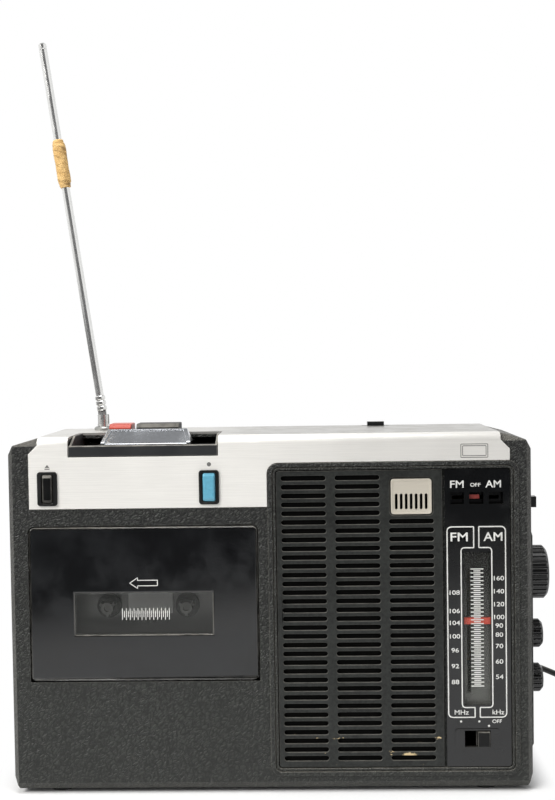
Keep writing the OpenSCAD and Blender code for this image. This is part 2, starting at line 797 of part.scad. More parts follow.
module stop_key() {
    color("#e8553a") rear_key(stop_x0, stop_w, stop_lever_x);
}

module wind_key() {
    color("#1d1d1e") rear_key(wind_x0, wind_w, wind_lever_x);
}

// Frames round the two push buttons
module button_bezels() {
    color("#19191a") for (b = [[eject_x, eject_w], [record_x, record_w]]) difference() {
        union() {
            round_plate(b[0] - bezel_w / 2, b[0] + bezel_w / 2, bezel_z - bezel_h / 2, bezel_z + bezel_h / 2,
                bezel_r, yf - trim_proud - 0.9, yf - trim_proud);
            box(b[0] - bezel_w / 2 + 1, b[0] + bezel_w / 2 - 1, yf - trim_proud, y_inner,
                bezel_z - bezel_h / 2 + 1, bezel_z + bezel_h / 2 - 1);
        }
        round_plate(b[0] - b[1] / 2 - gap, b[0] + b[1] / 2 + gap, bezel_z - button_h / 2 - gap,
            bezel_z + button_h / 2 + gap, button_r, yf - 3 * over, y_inner + over);
    }
}

// A push button with a crowned cap, its stem and the flange that keeps it in
module push_button(x, w) {
    z0 = bezel_z - button_h / 2;
    z1 = bezel_z + button_h / 2;
    flange_y = y_inner + gap;
    side = [[crown_y + crown_h, z1], [crown_y, z1 - 2 * crown_h], [crown_y, z0 + 2 * crown_h],
        [crown_y + crown_h, z0], [flange_y, z0], [flange_y, z1]];
    plan = [[x - w / 2, flange_y], [x - w / 2, crown_y + crown_h], [x - w / 2 + crown_h, crown_y],
        [x + w / 2 - crown_h, crown_y], [x + w / 2, crown_y + crown_h], [x + w / 2, flange_y]];
    intersection() {
        round_plate(x - w / 2, x + w / 2, z0, z1, button_r, crown_y, flange_y);
        prism_x(x - w, x + w) polygon(side);
        linear_extrude(height = z_top) polygon(plan);
    }
    box(x - w / 2 - 1.4, x + w / 2 + 1.4, flange_y, flange_y + 1.2, z0 - 1, z1 + 1);
    box(x - 1.5, x + 1.5, flange_y + 1, y_inner + 9, bezel_z - 2, bezel_z + 2);
}

module eject_button() {
    color("#1a1a1b") push_button(eject_x, eject_w);
}

module record_button() {
    color("#4aa3c4") push_button(record_x, record_w);
}

// Walls of the cassette well behind the door, with the door's hinge bores
module cassette_well() {
    color("#161617") difference() {
        union() {
            difference() {
                box(well_x0 - well_t, well_x1 + well_t, y_inner, deck_back + well_t, well_z0 - well_t,
                    well_z1 + well_t);
                box(well_x0, well_x1, y_inner - over, deck_back, well_z0, well_z1);
                box(well_x0 + well_t, well_x1 - well_t, y_inner - over, deck_back + well_t + over,
                    well_z0 + well_t, well_z1 - well_t);
            }
        }
        rod_x(hinge_y, hinge_z, well_x0 - well_t - over, well_x1 + well_t + over, hinge_pin_d + 2 * run_fit);
    }
}

// Cassette door: the carrier behind the pane, its hinge bar and pins, and the rails for a cassette
module cassette_door() {
    tape_x0 = door_cx - tape_w / 2 - gap;
    tape_x1 = door_cx + tape_w / 2 + gap;
    color("#202122") difference() {
        union() {
            round_plate(door_x0, door_x1, door_z0, door_z1, door_r, pane_y1, door_y1);
            box(door_x0 + door_r, door_x1 - door_r, pane_y1, hinge_y + 2, door_z0, hinge_z + 3);
            box(door_x0, door_x1, door_y1 - over, hinge_y + 2, hinge_z - 2.4, hinge_z + 2.4);
            rod_x(hinge_y, hinge_z, door_x0 - hinge_pin_l, door_x1 + hinge_pin_l, hinge_pin_d);
            // Side rails with their back lips, and the ledge under the cassette
            for (side = [[tape_x0 - rail_w, tape_x0, tape_x0 + 3],
                [tape_x1, tape_x1 + rail_w, tape_x1 - 3]]) {
                box(side[0], side[1], door_y1 - over, rail_y1, hinge_z + 2, reel_z + 32);
                box(min(side[0], side[2]), max(side[1], side[2]), rail_y1 - 1.5, rail_y1, hinge_z + 2,
                    reel_z + 32);
            }
            box(tape_x0 - rail_w, tape_x1 + rail_w, door_y1 - over, rail_y1, hinge_z + 1, tape_z0 - gap);
        }
        window_box(pane_y1 - over, door_y1 + over);
    }
}

// The window's opening between two depths
module window_box(y0, y1) {
    box(door_cx - window_w / 2, door_cx + window_w / 2, y0, y1, window_z - window_h / 2,
        window_z + window_h / 2);
}

// The window's sunk field in the front of the pane, with sloping edges
module window_field() {
    y0 = door_y0 - over;
    y1 = door_y0 + window_step;
    grow = window_slope * over / window_step;
    half_w = window_w / 2;
    half_h = window_h / 2;
    intersection() {
        prism_x(door_cx - window_w, door_cx + window_w) polygon([[y0, window_z - half_h - grow],
            [y1, window_z - half_h + window_slope], [y1, window_z + half_h - window_slope],
            [y0, window_z + half_h + grow]]);
        linear_extrude(height = z_top) polygon([[door_cx - half_w - grow, y0],
            [door_cx + half_w + grow, y0], [door_cx + half_w - window_slope, y1],
            [door_cx - half_w + window_slope, y1]]);
    }
}

// Smoked pane over the whole front of the door, bevelled at its edges and stepped at the window
module door_window() {
    side = [[door_y0, door_z0], [pane_y1, door_z0], [pane_y1, door_z1], [door_y0 + pane_bevel, door_z1],
        [door_y0, door_z1 - pane_bevel]];
    plan = [[door_x0, pane_y1], [door_x0, door_y0 + pane_bevel], [door_x0 + pane_bevel, door_y0],
        [door_x1 - pane_bevel, door_y0], [door_x1, door_y0 + pane_bevel], [door_x1, pane_y1]];
    color("#4a4a46", 0.5) difference() {
        intersection() {
            round_plate(door_x0, door_x1, door_z0, door_z1, door_r, door_y0, pane_y1);
            prism_x(door_x0 - over, door_x1 + over) polygon(side);
            linear_extrude(height = z_top) polygon(plan);
        }
        // Lower front edge, rounded about the hinge
        difference() {
            box(door_x0 - over, door_x1 + over, door_y0 - over, hinge_y, door_z0 - over, hinge_z);
            rod_x(hinge_y, hinge_z, door_x0 - 2 * over, door_x1 + 2 * over, 2 * hinge_round);
        }
        window_field();
    }
}

// Steel plate of the tape deck with the bearings and the bridge's guide pins
module deck_plate() {
    color("#8f9294") difference() {
        union() {
            box(well_x0 + 0.1, well_x1 - 0.1, deck_y, deck_back, well_z0 + 0.1, well_z1 - 0.1);
            rod_y(capstan_x, capstan_z, deck_y, deck_back + bearing_l, 8);
            for (x = guide_pins()) rod_y(x, guide_pin_z, bridge_y0 - 1.2, deck_y + over / 2, guide_pin_d);
        }
        rod_y(capstan_x, capstan_z, deck_y - over, deck_back + bearing_l + over, capstan_d + 2 * run_fit);
        for (x = [supply_x, takeup_x]) rod_y(x, reel_z, deck_y - over, deck_back + over, 3 + 2 * run_fit);
    }
}

function guide_pins() = [door_cx - 33, door_cx + 33];

// A reel spindle: turntable, splined post and shaft
module spindle(x) {
    difference() {
        union() {
            rod_y(x, reel_z, deck_y - 3.2, deck_y - 0.3, 13);
            rod_y(x, reel_z, deck_y - 11, deck_y - 3, 6.4);
            rod_y(x, reel_z, deck_y - 0.5, deck_back + 3, 3);
            rod_y(x, reel_z, deck_back + 0.3, deck_back + 1.8, 6);
            for (a = [90, 210, 330]) translate([x, 0, reel_z]) rotate([0, a, 0])
                box(0, 4.6, deck_y - 10, deck_y - 3, -0.8, 0.8);
        }
        rod_y(x, reel_z, deck_y - 11 - over, deck_y - 9.4, 3.2);
    }
}

module supply_spindle() {
    color("#d9d7cf") spindle(supply_x);
}

module takeup_spindle() {
    color("#d9d7cf") spindle(takeup_x);
}

// Capstan and flywheel, one turned piece
module flywheel() {
    color("#9c9ea0") union() {
        rod_y(capstan_x, capstan_z, deck_y - 12, flywheel_y + flywheel_t, capstan_d);
        translate([capstan_x, flywheel_y, capstan_z]) rotate([-90, 0, 0]) rotate_extrude()
            polygon([[0, 1], [flywheel_d / 2 - 5, 1], [flywheel_d / 2 - 5, 0], [flywheel_d / 2, 0],
                [flywheel_d / 2, flywheel_t / 2 - 1.4], [flywheel_d / 2 - 1, flywheel_t / 2 - 1.1],
                [flywheel_d / 2 - 1, flywheel_t / 2 + 1.1], [flywheel_d / 2, flywheel_t / 2 + 1.4],
                [flywheel_d / 2, flywheel_t], [flywheel_d / 2 - 5, flywheel_t],
                    [flywheel_d / 2 - 5, flywheel_t - 1],
                [0, flywheel_t - 1]]);
    }
}

module drive_motor() {
    color("#a7a9aa") difference() {
        union() {
            rod_y(motor_x, motor_z, deck_back, deck_back + motor_l - 1.5, motor_d);
            rod_y(motor_x, motor_z, deck_back + motor_l - 2, deck_back + motor_l, motor_d / 3);
        }
        rod_y(motor_x, motor_z, deck_back + motor_l - 12, deck_back + motor_l + over, 2 + 2 * run_fit);
    }
}

module motor_pulley() {
    color("#c9b072") union() {
        rod_y(motor_x, motor_z, deck_back + motor_l - 11.5, flywheel_y + 1, 2);
        translate([motor_x, flywheel_y + 0.5, motor_z]) rotate([-90, 0, 0]) rotate_extrude()
            polygon([[0, 0], [pulley_d / 2, 0], [pulley_d / 2 - 1, flywheel_t / 2 - 1.6],
                [pulley_d / 2 - 1, flywheel_t / 2 + 0.6],
                [pulley_d / 2, flywheel_t - 1], [0, flywheel_t - 1]]);
    }
}

// Rubber belt round the flywheel and the pulley
module drive_belt() {
    belt_y = flywheel_y + flywheel_t / 2 - 0.9;
    color("#151515") difference() {
        belt_loop(belt_y, 1.8, gap + 1.6);
        belt_loop(belt_y - over, 1.8 + 2 * over, gap + 0.4);
    }
}

module belt_loop(y0, w, g) {
    hull() {
        rod_y(capstan_x, capstan_z, y0, y0 + w, flywheel_d + 2 * g - 1, $fn = 48);
        rod_y(motor_x, motor_z, y0, y0 + w, pulley_d + 2 * g - 1, $fn = 32);
    }
}

// Sliding bridge with the play head, the erase head and the pinch roller's pin
module head_bridge() {
    color("#b4b6b6") difference() {
        union() {
            box(door_cx - bridge_half, door_cx + bridge_half, bridge_y0, bridge_y1, bridge_z0, bridge_z1);
            box(door_cx - 6.5, door_cx + 6.5, deck_y - 15, bridge_y0 + 0.5, head_z0, bridge_z1);
            box(door_cx + 14, door_cx + 22, deck_y - 14, bridge_y0 + 0.5, head_z0, bridge_z1);
            rod_y(capstan_x, pinch_z, deck_y - 14.5, bridge_y1 - 0.2, 2.4);
        }
        for (x = guide_pins())
            box(x - guide_pin_d / 2 - fit, x + guide_pin_d / 2 + fit, bridge_y0 - over, bridge_y1 + over,
                guide_pin_z - guide_pin_d / 2 - fit, guide_pin_z + guide_pin_d / 2 + fit + bridge_travel);
    }
}

module pinch_roller() {
    color("#232323") difference() {
        rod_y(capstan_x, pinch_z, deck_y - 13.5, deck_y - 3.5, pinch_d);
        rod_y(capstan_x, pinch_z, deck_y - 14, deck_y - 3, 2.4 + 2 * run_fit);
    }
}

// Grey block on the deck that steadies the cassette, seen through the window
module tape_guide() {
    color("#b9b8b2") prism_x(door_cx - 10.5, door_cx + 13.5) polygon([[deck_y - 5, reel_z - 4],
        [deck_y, reel_z - 4],
        [deck_y, reel_z + 17], [deck_y - 3, reel_z + 17], [deck_y - 5, reel_z + 12]]);
}

// Rows of round-ended slots in the grille
grille_x1 = dial_x0 - 1.4;
slot_x0 = inset_x0 + 3;
slot_z0 = inset_z0 + 5.2;
slot_rows = floor((inset_z1 - 3.5 - slot_z0) / row_pitch) + 1;
mic_x0 = slot_x0 + (columns - 1) * column_pitch + (slot_w - mic_w) / 2;
mic_z1 = slot_z0 + (slot_rows - 1) * row_pitch - 0.85;
mic_z0 = mic_z1 - mic_h;
mic_r = 1.5;
mic_edge = 0.9;
mic_seat_y = yf + 0.7;
mic_air = 0.8;
mic_plug = 1.5;

function row_z(i) = slot_z0 + i * row_pitch;
function slot_open(c, i) = c < columns - 1 || row_z(i) + slot_h / 2 < mic_z0 - 2 * mic_air;

module grille_slot(x0, z) {
    r = slot_h / 2;
    box(x0 + r, x0 + slot_w - r, yf - ridge_h, yf + pocket_d + over, z - r, z + r);
    for (x = [x0 + r, x0 + slot_w - r]) rod_y(x, z, yf - ridge_h, yf + pocket_d + over, slot_h);
}

module grille_panel() {
    color("#2c2d2d") difference() {
        intersection() {
            inset_plate(-inset_gap, yf + 0.1, yf + pocket_d);
            box(inset_x0, grille_x1, yf - over, y_inner, inset_z0, inset_z1);
        }
        for (c = [0:columns - 1], i = [0:slot_rows - 1]) if (slot_open(c, i))
            grille_slot(slot_x0 + c * column_pitch, row_z(i));
        // Sunk seat of the microphone plate
        round_plate(mic_x0 - mic_air, mic_x0 + mic_w + mic_air, mic_z0 - mic_air, mic_z1 + mic_air,
            mic_r + mic_air,
            yf - over, mic_seat_y);
        box(mic_x0 + mic_plug, mic_x0 + mic_w - mic_plug, yf - over, yf + pocket_d + over, mic_z0 + mic_plug,
            mic_z1 - mic_plug);
    }
}

// Small bright plate over the built-in microphone, with a raised edge and a row of round-ended slots
module mic_grille() {
    mic_slots = 7;
    mic_pitch = 2.6;
    hole_w = 1.5;
    hole_z0 = mic_z0 + 3.2;
    hole_z1 = mic_z0 + 10;
    inner = mic_plug + fit;
    color("#d5d3cb") difference() {
        union() {
            round_plate(mic_x0, mic_x0 + mic_w, mic_z0, mic_z1, mic_r, yf - 0.5, mic_seat_y);
            box(mic_x0 + inner, mic_x0 + mic_w - inner, yf, yf + pocket_d, mic_z0 + inner, mic_z1 - inner);
        }
        round_plate(mic_x0 + mic_edge, mic_x0 + mic_w - mic_edge, mic_z0 + mic_edge, mic_z1 - mic_edge,
            mic_r - mic_edge / 2, yf - over, yf - 0.2);
        for (i = [0:mic_slots - 1]) let (x = mic_x0 + mic_w / 2 + (i - (mic_slots - 1) / 2) * mic_pitch) {
            box(x - hole_w / 2, x + hole_w / 2, yf - over, yf + pocket_d + over, hole_z0, hole_z1);
            for (z = [hole_z0, hole_z1]) rod_y(x, z, yf - over, yf + pocket_d + over, hole_w);
        }
    }
}

// Loudspeaker
speaker_x = (inset_x0 + dial_x0) / 2;
speaker_z = (inset_z0 + inset_z1) / 2;
magnet_d = 48;
basket_h = 18;

// Pressed basket with six windows, and the magnet behind it
module speaker_frame() {
    r = speaker_d / 2;
    rm = magnet_d / 2;
    color("#6f7173") translate([speaker_x, y_inner, speaker_z]) rotate([-90, 0, 0]) difference() {
        rotate_extrude() polygon([[r - 6, 0], [r, 0], [r, 1.5], [r - 4.5, 1.5], [rm, basket_h],
            [rm, basket_h + 13],
            [0, basket_h + 13], [0, basket_h - 1.5], [rm - 1.5, basket_h - 1.5], [r - 6, 1.5]]);
        for (i = [0:5]) rotate(i * 60) translate([rm + 3, -7, 4]) cube([r - rm - 10, 14, basket_h - 7]);
    }
}

module speaker_cone() {
    r = speaker_d / 2;
    color("#1e1d1c") translate([speaker_x, y_inner, speaker_z]) rotate([-90, 0, 0]) rotate_extrude()
        polygon([[0, 6], [7, 7.5], [11, 12.5], [r - 10.5, 1.2], [r - 8.5, 0.4], [r - 6.1, 0.4],
            [r - 6.1, 1], [r - 8.3, 1.2],
            [11, 14], [0, 14]]);
}

// Glossy dial with its slot, the band windows and the level switch's slot
level_x = dial_cx + 2.75;
level_z = z_case + level_up;
level_x0 = level_x - level_w / 2 - level_travel - gap;
level_x1 = level_x + level_w / 2 + gap;
dial_box_y = yf + pocket_d + 2.6;
dial_slot_z0 = z_case + dial_slot_up;
band_z = z_case + band_up;
pointer_z = dial_slot_z0 + pointer_up;
scale_z0 = pointer_z - 0.59 * pointer_travel;

module dial_panel() {
    slot_x = dial_cx - dial_slot_w / 2;
    color("#121314") difference() {
        union() {
            intersection() {
                inset_plate(-inset_gap, yf + 0.1, yf + pocket_d);
                box(dial_x0, inset_x1, yf - over, y_inner, inset_z0, inset_z1);
            }
            box(dial_x0 + web_w / 2 + fit, inset_x1 - ledge - fit, yf + pocket_d - 0.1, dial_box_y + 1.2,
                inset_z0 + ledge + fit, inset_z1 - ledge - fit);
            // Raised frame of the level switch
            round_plate(level_x0 - 5, level_x1 + 5, level_z - level_h / 2 - 1.2,
                level_z + level_h / 2 + 1.2, 1.6, yf - 0.5, yf + 0.2);
        }
        // Slot and the channel that the pointer runs in
        box(slot_x, slot_x + dial_slot_w, yf - over, yf + pocket_d + 0.1, dial_slot_z0,
            dial_slot_z0 + dial_slot_h);
        box(slot_x - 1.5, slot_x + dial_slot_w + 1.5, yf + pocket_d, dial_box_y, dial_slot_z0 - 1.5,
            dial_slot_z0 + dial_slot_h + 1.5);
        box(dial_cx - 5, dial_cx - 3, dial_box_y - 0.1, dial_box_y + 2, scale_z0 - 2,
            scale_z0 + pointer_travel + 2);
        // Band windows and the flag's channel
        for (i = [-1:1]) box(dial_cx + i * band_pitch - band_w / 2, dial_cx + i * band_pitch + band_w / 2,
            yf - over,
            yf + pocket_d + 0.1, band_z - band_h / 2, band_z + band_h / 2);
        box(dial_x0 + web_w / 2 + 1, inset_x1 - ledge - 1, yf + pocket_d, dial_box_y,
            band_z - band_h / 2 - 1, band_z + band_h / 2 + 1);
        box(dial_cx - band_pitch - 2, dial_cx + band_pitch + 2, dial_box_y - 0.1, dial_box_y + 2,
            band_z - 1, band_z + 1);
        // Level switch
        box(level_x0, level_x1, yf - over, dial_box_y + 2, level_z - level_h / 2 - gap,
            level_z + level_h / 2 + gap);
        box(level_x0 - 1.2 - level_travel / 2, level_x1 + 1.2 + level_travel / 2, yf + pocket_d,
            dial_box_y + 2,
            level_z - level_h / 2 - 1.6, level_z + level_h / 2 + 1.6);
    }
}

module dial_pointer() {
    w = dial_slot_w + 3 - 2 * gap;
    color("#d8402c") union() {
        box(dial_cx - w / 2, dial_cx + w / 2, yf + pocket_d + gap, dial_box_y - gap,
            pointer_z - pointer_h / 2, pointer_z + pointer_h / 2);
        box(dial_cx - 4.6, dial_cx - 3.4, dial_box_y - 1, dial_box_y + 3, pointer_z - 1.2, pointer_z + 1.2);
    }
}

module band_flag() {
    color("#d8402c") union() {
        box(dial_cx - 3.8, dial_cx + 1.7, yf + pocket_d + gap, dial_box_y - gap, band_z - 0.4, band_z + 1.7);
        box(dial_cx - 1.2, dial_cx + 1.2, dial_box_y - 1, dial_box_y + 3, band_z - 0.6, band_z + 0.6);
    }
}

module level_switch() {
    half = level_w / 2;
    color("#1c1c1d") union() {
        box(level_x - half, level_x + half, yf - front_reach, dial_box_y, level_z - level_h / 2,
            level_z + level_h / 2);
        box(level_x - half - 0.4, level_x + half + level_travel / 2 - 2.6,
            yf + pocket_d + gap, dial_box_y, level_z - level_h / 2 - 1.2,
            level_z + level_h / 2 + 1.2);
    }
}

// Band switch on the right side: a grooved nub on a slide
module band_switch() {
    half = nub_w / 2;
    color("#1c1c1d") difference() {
        union() {
            box(x_inner - 1.2, xr + 4.6, nub_y - half, nub_y + half, nub_z - half, nub_z + half);
            box(x_inner - 1.6, x_inner - gap, nub_y - half - 2, nub_y + half + 2, nub_z - half - 1.6,
                nub_z + half + 1.6);
        }
        for (i = [-1:1]) box(xr + 4.1, xr + 4.6 + over, nub_y + i * 1.6 - 0.4, nub_y + i * 1.6 + 0.4,
            nub_z - half - over, nub_z + half + over);
    }
}

// A ribbed side knob with a chamfered rim, a dished face and its shaft
module side_knob(z, d, l, ribs) {
    color("#1b1b1c") translate([pad_x + knob_air, knob_y, z]) rotate([0, 90, 0]) union() {
        difference() {
            rotate_extrude() polygon([[0, 0], [d / 2 - 0.8, 0], [d / 2, 0.8], [d / 2, l - 1.6],
                [d / 2 - 1.6, l],
                [d / 2 - 3.2, l], [d / 2 - 3.8, l - 0.8], [0, l - 0.8]]);
            for (i = [0:ribs - 1]) rotate(i * 360 / ribs) translate([d / 2 + 0.4, 0,
                -over]) cylinder(d = 2.2, h = l + 2 * over, $fn = 20);
        }
        translate([0, 0, -12.5]) cylinder(d = shaft_d, h = 13);
    }
}

module tuning_knob() {
    side_knob(tuning_z, tuning_d, tuning_l, 30);
}

module volume_knob() {
    side_knob(volume_z, small_d, small_l, 18);
}

module tone_knob() {
    side_knob(tone_z, small_d, small_l, 18);
}

// Tuning capacitor behind the tuning knob
module tuning_gang() {
    color("#c8c4b4") difference() {
        union() {
            box(x_inner - 22, x_inner, knob_y - 12.5, knob_y + 12.5, tuning_z - 12.5, tuning_z + 12.5);
            rod_x(knob_y, tuning_z, x_inner - over, pad_x, bush_d);
        }
        rod_x(knob_y, tuning_z, x_inner - 14, pad_x + over, shaft_d + 2 * run_fit);
    }
}

// Volume and tone potentiometers
module control_pots() {
    color("#8d9092") for (z = [volume_z, tone_z]) difference() {
        union() {
            rod_x(knob_y, z, x_inner - 12, x_inner, 17);
            rod_x(knob_y, z, x_inner - over, pad_x, bush_d);
        }
        rod_x(knob_y, z, x_inner - 11, pad_x + over, shaft_d + 2 * run_fit);
    }
}

// Small slider on the rear of the top
module top_slider() {
    color("#161617") union() {
        prism_x(slider_x - 4.8, slider_x + 4.8) polygon([[slider_y - 1.4, z_inner_top - gap],
            [slider_y + 1.4, z_inner_top - gap],
            [slider_y + 1.4, z_top + 0.3], [slider_y + 3, z_top + 0.3], [slider_y + 2.6, z_top + 2.3],
                [slider_y - 2.6, z_top + 2.3],
            [slider_y - 3, z_top + 0.3], [slider_y - 1.4, z_top + 0.3]]);
        box(slider_x - 5.8, slider_x + 5.8, slider_y - 3, slider_y + 3, z_inner_top - gap - 1.2,
            z_inner_top - gap);
    }
}

// Aerial: fixed collar, swivelling knuckle and telescopic rod
module antenna_base() {
    color("#b9bcc0") difference() {
        union() {
            translate([aerial_x, aerial_y, z_top]) rotate_extrude() polygon([[0, 0], [collar_d / 2, 0],
                [collar_d / 2, 1.2],
                [collar_d / 2 - 0.8, 2], [0, 2]]);
            rod_z(aerial_x, aerial_y, z_top - 12, z_top + 1, 8);
        }
        rod_z(aerial_x, aerial_y, z_top - 12 - over, z_top + 3, knuckle_stem_d + 2 * run_fit);
    }
}

module antenna_knuckle() {
    color("#b9bcc0") difference() {
        union() {
            rod_z(aerial_x, aerial_y, z_top - 11, z_top + 3, knuckle_stem_d);
            intersection() {
                rod_z(aerial_x, aerial_y, z_top + 2.2, pivot_z + 3, knuckle_d);
                box(aerial_x - 5, aerial_x + 5, aerial_y - 5, aerial_y + 5, z_top, pivot_z + 2.4);
            }
        }
        box(aerial_x - 5, aerial_x + 5, aerial_y - blade_t / 2 - 0.3, aerial_y + blade_t / 2 + 0.3,
            pivot_z - 3, pivot_z + 4);
        rod_y(aerial_x, pivot_z, aerial_y - 5, aerial_y + 5, pin_d + 2 * run_fit);
    }
}

// Puts a piece drawn along +Z at the aerial's pivot and lean
module on_aerial() {
    translate([aerial_x, aerial_y, pivot_z]) rotate([0, -aerial_lean, 0]) children();
}

module antenna_tube() {
    tube_end = aerial_l - cap_l - 0.3;
    color("#c3c6ca") on_aerial() difference() {
        union() {
            rotate([90, 0, 0]) cylinder(d = 4.6, h = blade_t, center = true);
            translate([-2.3, -blade_t / 2, 0]) cube([4.6, blade_t, tube_from + 1]);
            rotate([90, 0, 0]) cylinder(d = pin_d, h = knuckle_d - 0.6, center = true);
            translate([0, 0, tube_from]) cylinder(d = aerial_d, h = tube_end - tube_from);
            // Ringed ferrule
            for (i = [0:ferrule_rings - 1]) translate([0, 0, tube_from + i * ferrule_pitch]) rotate_extrude()
                polygon([[0, 0], [ferrule_d / 2 - 0.3, 0], [ferrule_d / 2, 0.4],
                    [ferrule_d / 2, ferrule_pitch - 1],
                    [ferrule_d / 2 - 0.3, ferrule_pitch - 0.6], [0, ferrule_pitch - 0.6]]);
        }
        translate([0, 0, tube_from + 5]) cylinder(d = middle_d + 2 * run_fit, h = aerial_l);
    }
}

module antenna_middle() {
    color("#cfd2d5") on_aerial() difference() {
        translate([0, 0, tube_from + 6]) cylinder(d = middle_d, h = aerial_l - cap_l - 0.6 - tube_from - 6);
        translate([0, 0, tube_from + 10]) cylinder(d = rod_d + 2 * run_fit, h = aerial_l);
    }
}

module antenna_tip() {
    color("#d7dadd") on_aerial() union() {
        translate([0, 0, tube_from + 11]) cylinder(d = rod_d, h = aerial_l - tube_from - 12);
        translate([0, 0, aerial_l - cap_l]) rotate_extrude() polygon([[0, 0], [aerial_d / 2 - 0.3, 0],
            [aerial_d / 2, 0.4],
            [aerial_d / 2, cap_l - 0.8], [aerial_d / 2 - 0.8, cap_l], [0, cap_l]]);
    }
}

// Paper tape wound round the rod, with the steps of its layers
module antenna_tape() {
    color("#dcb06a") on_aerial() translate([0, 0, tape_from]) difference() {
        union() {
            cylinder(d = wrap_d - 1.2, h = tape_l);
            translate([0, 0, 1.5]) cylinder(d = wrap_d - 0.4, h = tape_l - 3.5);
            translate([0, 0, 3]) cylinder(d = wrap_d, h = tape_l - 8);
        }
        translate([0, 0, -over]) cylinder(d = aerial_d, h = tape_l + 2 * over);
    }
}

// Battery bay behind its door, with the stop that the door closes against
module battery_box() {
    color("#202122") union() {
        difference() {
            box(bay_x0 - bay_t, bay_x1 + bay_t, bay_y0 - bay_t, bay_y1, bay_z0 - bay_t, bay_z1 + bay_t);
            box(bay_x0, bay_x1, bay_y0, bay_y1 + over, bay_z0, bay_z1);
        }
        box(bay_x0, bay_x1, bay_y1 - 3, bay_y1 - 0.1, bay_z1 - 2.5, bay_z1);
    }
}

module battery_door() {
    y1 = yb - 0.3;
    y0 = y1 - bay_door_t;
    color("#343634") difference() {
        union() {
            box(bay_x0 + gap, bay_x1 - gap, y0, y1, bay_hinge_z - 1, bay_z1 - gap);
            rod_x(bay_hinge_y, bay_hinge_z, bay_x0 - 1.6, bay_x1 + 1.6, bay_pin_d);
        }
        // Finger grip at the upper edge
        for (i = [0:3]) box((bay_x0 + bay_x1) / 2 - 10, (bay_x0 + bay_x1) / 2 + 10, y1 - 0.6, y1 + over,
            bay_z1 - 6 - i * 2.4, bay_z1 - 4.8 - i * 2.4);
    }
}

// Contacts at both ends of the battery bay
module battery_contacts() {
    color("#c4bfa8") for (z = [bay_z0 + bay_h / 4, bay_z1 - bay_h / 4]) {
        box(bay_x0, bay_x0 + 0.6, bay_y0 + 4, bay_y0 + 22, z - 9, z + 9);
        box(bay_x1 - 0.6, bay_x1, bay_y0 + 4, bay_y0 + 22, z - 9, z + 9);
        rod_x(bay_y0 + 13, z, bay_x0 + 0.5, bay_x0 + 4.5, 9);
        rod_x(bay_y0 + 13, z, bay_x1 - 1.8, bay_x1 - 0.5, 7);
    }
}

// Circuit board on posts of the back moulding
board_y1 = yb - 18;
board_y0 = board_y1 - 1.6;
board_x0 = inset_x0;
board_x1 = xr - 14;
board_z0 = z_case + 52;
board_z1 = z_top - 24;

function board_posts() = [for (x = [board_x0 + 6, board_x1 - 6], z = [board_z0 + 6, board_z1 - 14]) [x, z]];

module main_board() {
    color("#b98b4a") union() {
        box(board_x0, board_x1, board_y0, board_y1, board_z0, board_z1);
        for (i = [0:4]) rod_y(board_x0 + 18 + i * 20, board_z0 + 22, board_y0 - 9, board_y0 + 0.5, 8);
        for (i = [0:3]) box(board_x0 + 14 + i * 24, board_x0 + 22 + i * 24, board_y0 - 10, board_y0 + 0.5,
            board_z0 + 44, board_z0 + 52);
        // Brackets of the ferrite aerial
        for (x = ferrite_brackets()) difference() {
            box(x - 3, x + 3, board_y0 - 12, board_y0 + 0.5, ferrite_z - 7, ferrite_z + 7);
            rod_x(board_y0 - 6, ferrite_z, x - 4, x + 4, ferrite_d + 2 * run_fit);
        }
    }
}

ferrite_z = board_z1 - 8;
ferrite_d = 10;
coil_from = 34;
ferrite_coil_l = 24;
function ferrite_brackets() = [board_x0 + 14, board_x1 - 14];

module ferrite_aerial() {
    color("#3b3b3d") union() {
        rod_x(board_y0 - 6, ferrite_z, board_x0 + 4, board_x1 - 4, ferrite_d);
        rod_x(board_y0 - 6, ferrite_z, board_x0 + coil_from, board_x0 + coil_from + ferrite_coil_l,
            ferrite_d + 2);
    }
}

core_w = 42;
core_h = 35;
winding_w = 26;
winding_h = 23;

module mains_transformer() {
    tx = speaker_x + core_w / 2;
    z = z_case + wall;
    color("#8a8276") union() {
        box(tx - core_w / 2, tx + core_w / 2, y_part + 1.5, yb - wall - 1.5, z, z + core_h);
        box(tx - winding_w / 2, tx + winding_w / 2, y_part - 5, y_part + 2, z + (core_h - winding_h) / 2,
            z + (core_h + winding_h) / 2);
    }
}

module feet() {
    color("#161616") for (x = [xl + foot_inset, xr - foot_inset], y = [yf + 12, yb - 12]) translate([x, y, 0])
        rotate_extrude() polygon([[0, 0], [foot_d / 2 - 1, 0], [foot_d / 2, 1], [foot_d / 2, foot_h],
            [0, foot_h]]);
}

module case_screws() {
    color("#b9bcc0") for (p = screw_places()) difference() {
        union() {
            rod_y(p[0], p[1], yb - 3.2, yb - 0.8, 7);
            rod_y(p[0], p[1], y_part - 16, yb - 3, 3);
        }
        box(p[0] - 2.4, p[0] + 2.4, yb - 1.8, yb, p[1] - 0.4, p[1] + 0.4);
        box(p[0] - 0.4, p[0] + 0.4, yb - 1.8, yb, p[1] - 2.4, p[1] + 2.4);
    }
}

// Two sockets in the left side, at the parting line
jack_d = 12;
jack_z0 = z_case + 92;
jack_z1 = jack_z0 + 30;

module jack_block() {
    color("#1a1a1b") difference() {
        box(xl + 0.3, xl + 17, y_part + fit, y_part + jack_d, jack_z0, jack_z1);
        for (z = [jack_z0 + 8, jack_z1 - 8]) rod_x(y_part + jack_d / 2, z, xl, xl + 14.3, 3.6);
    }
}

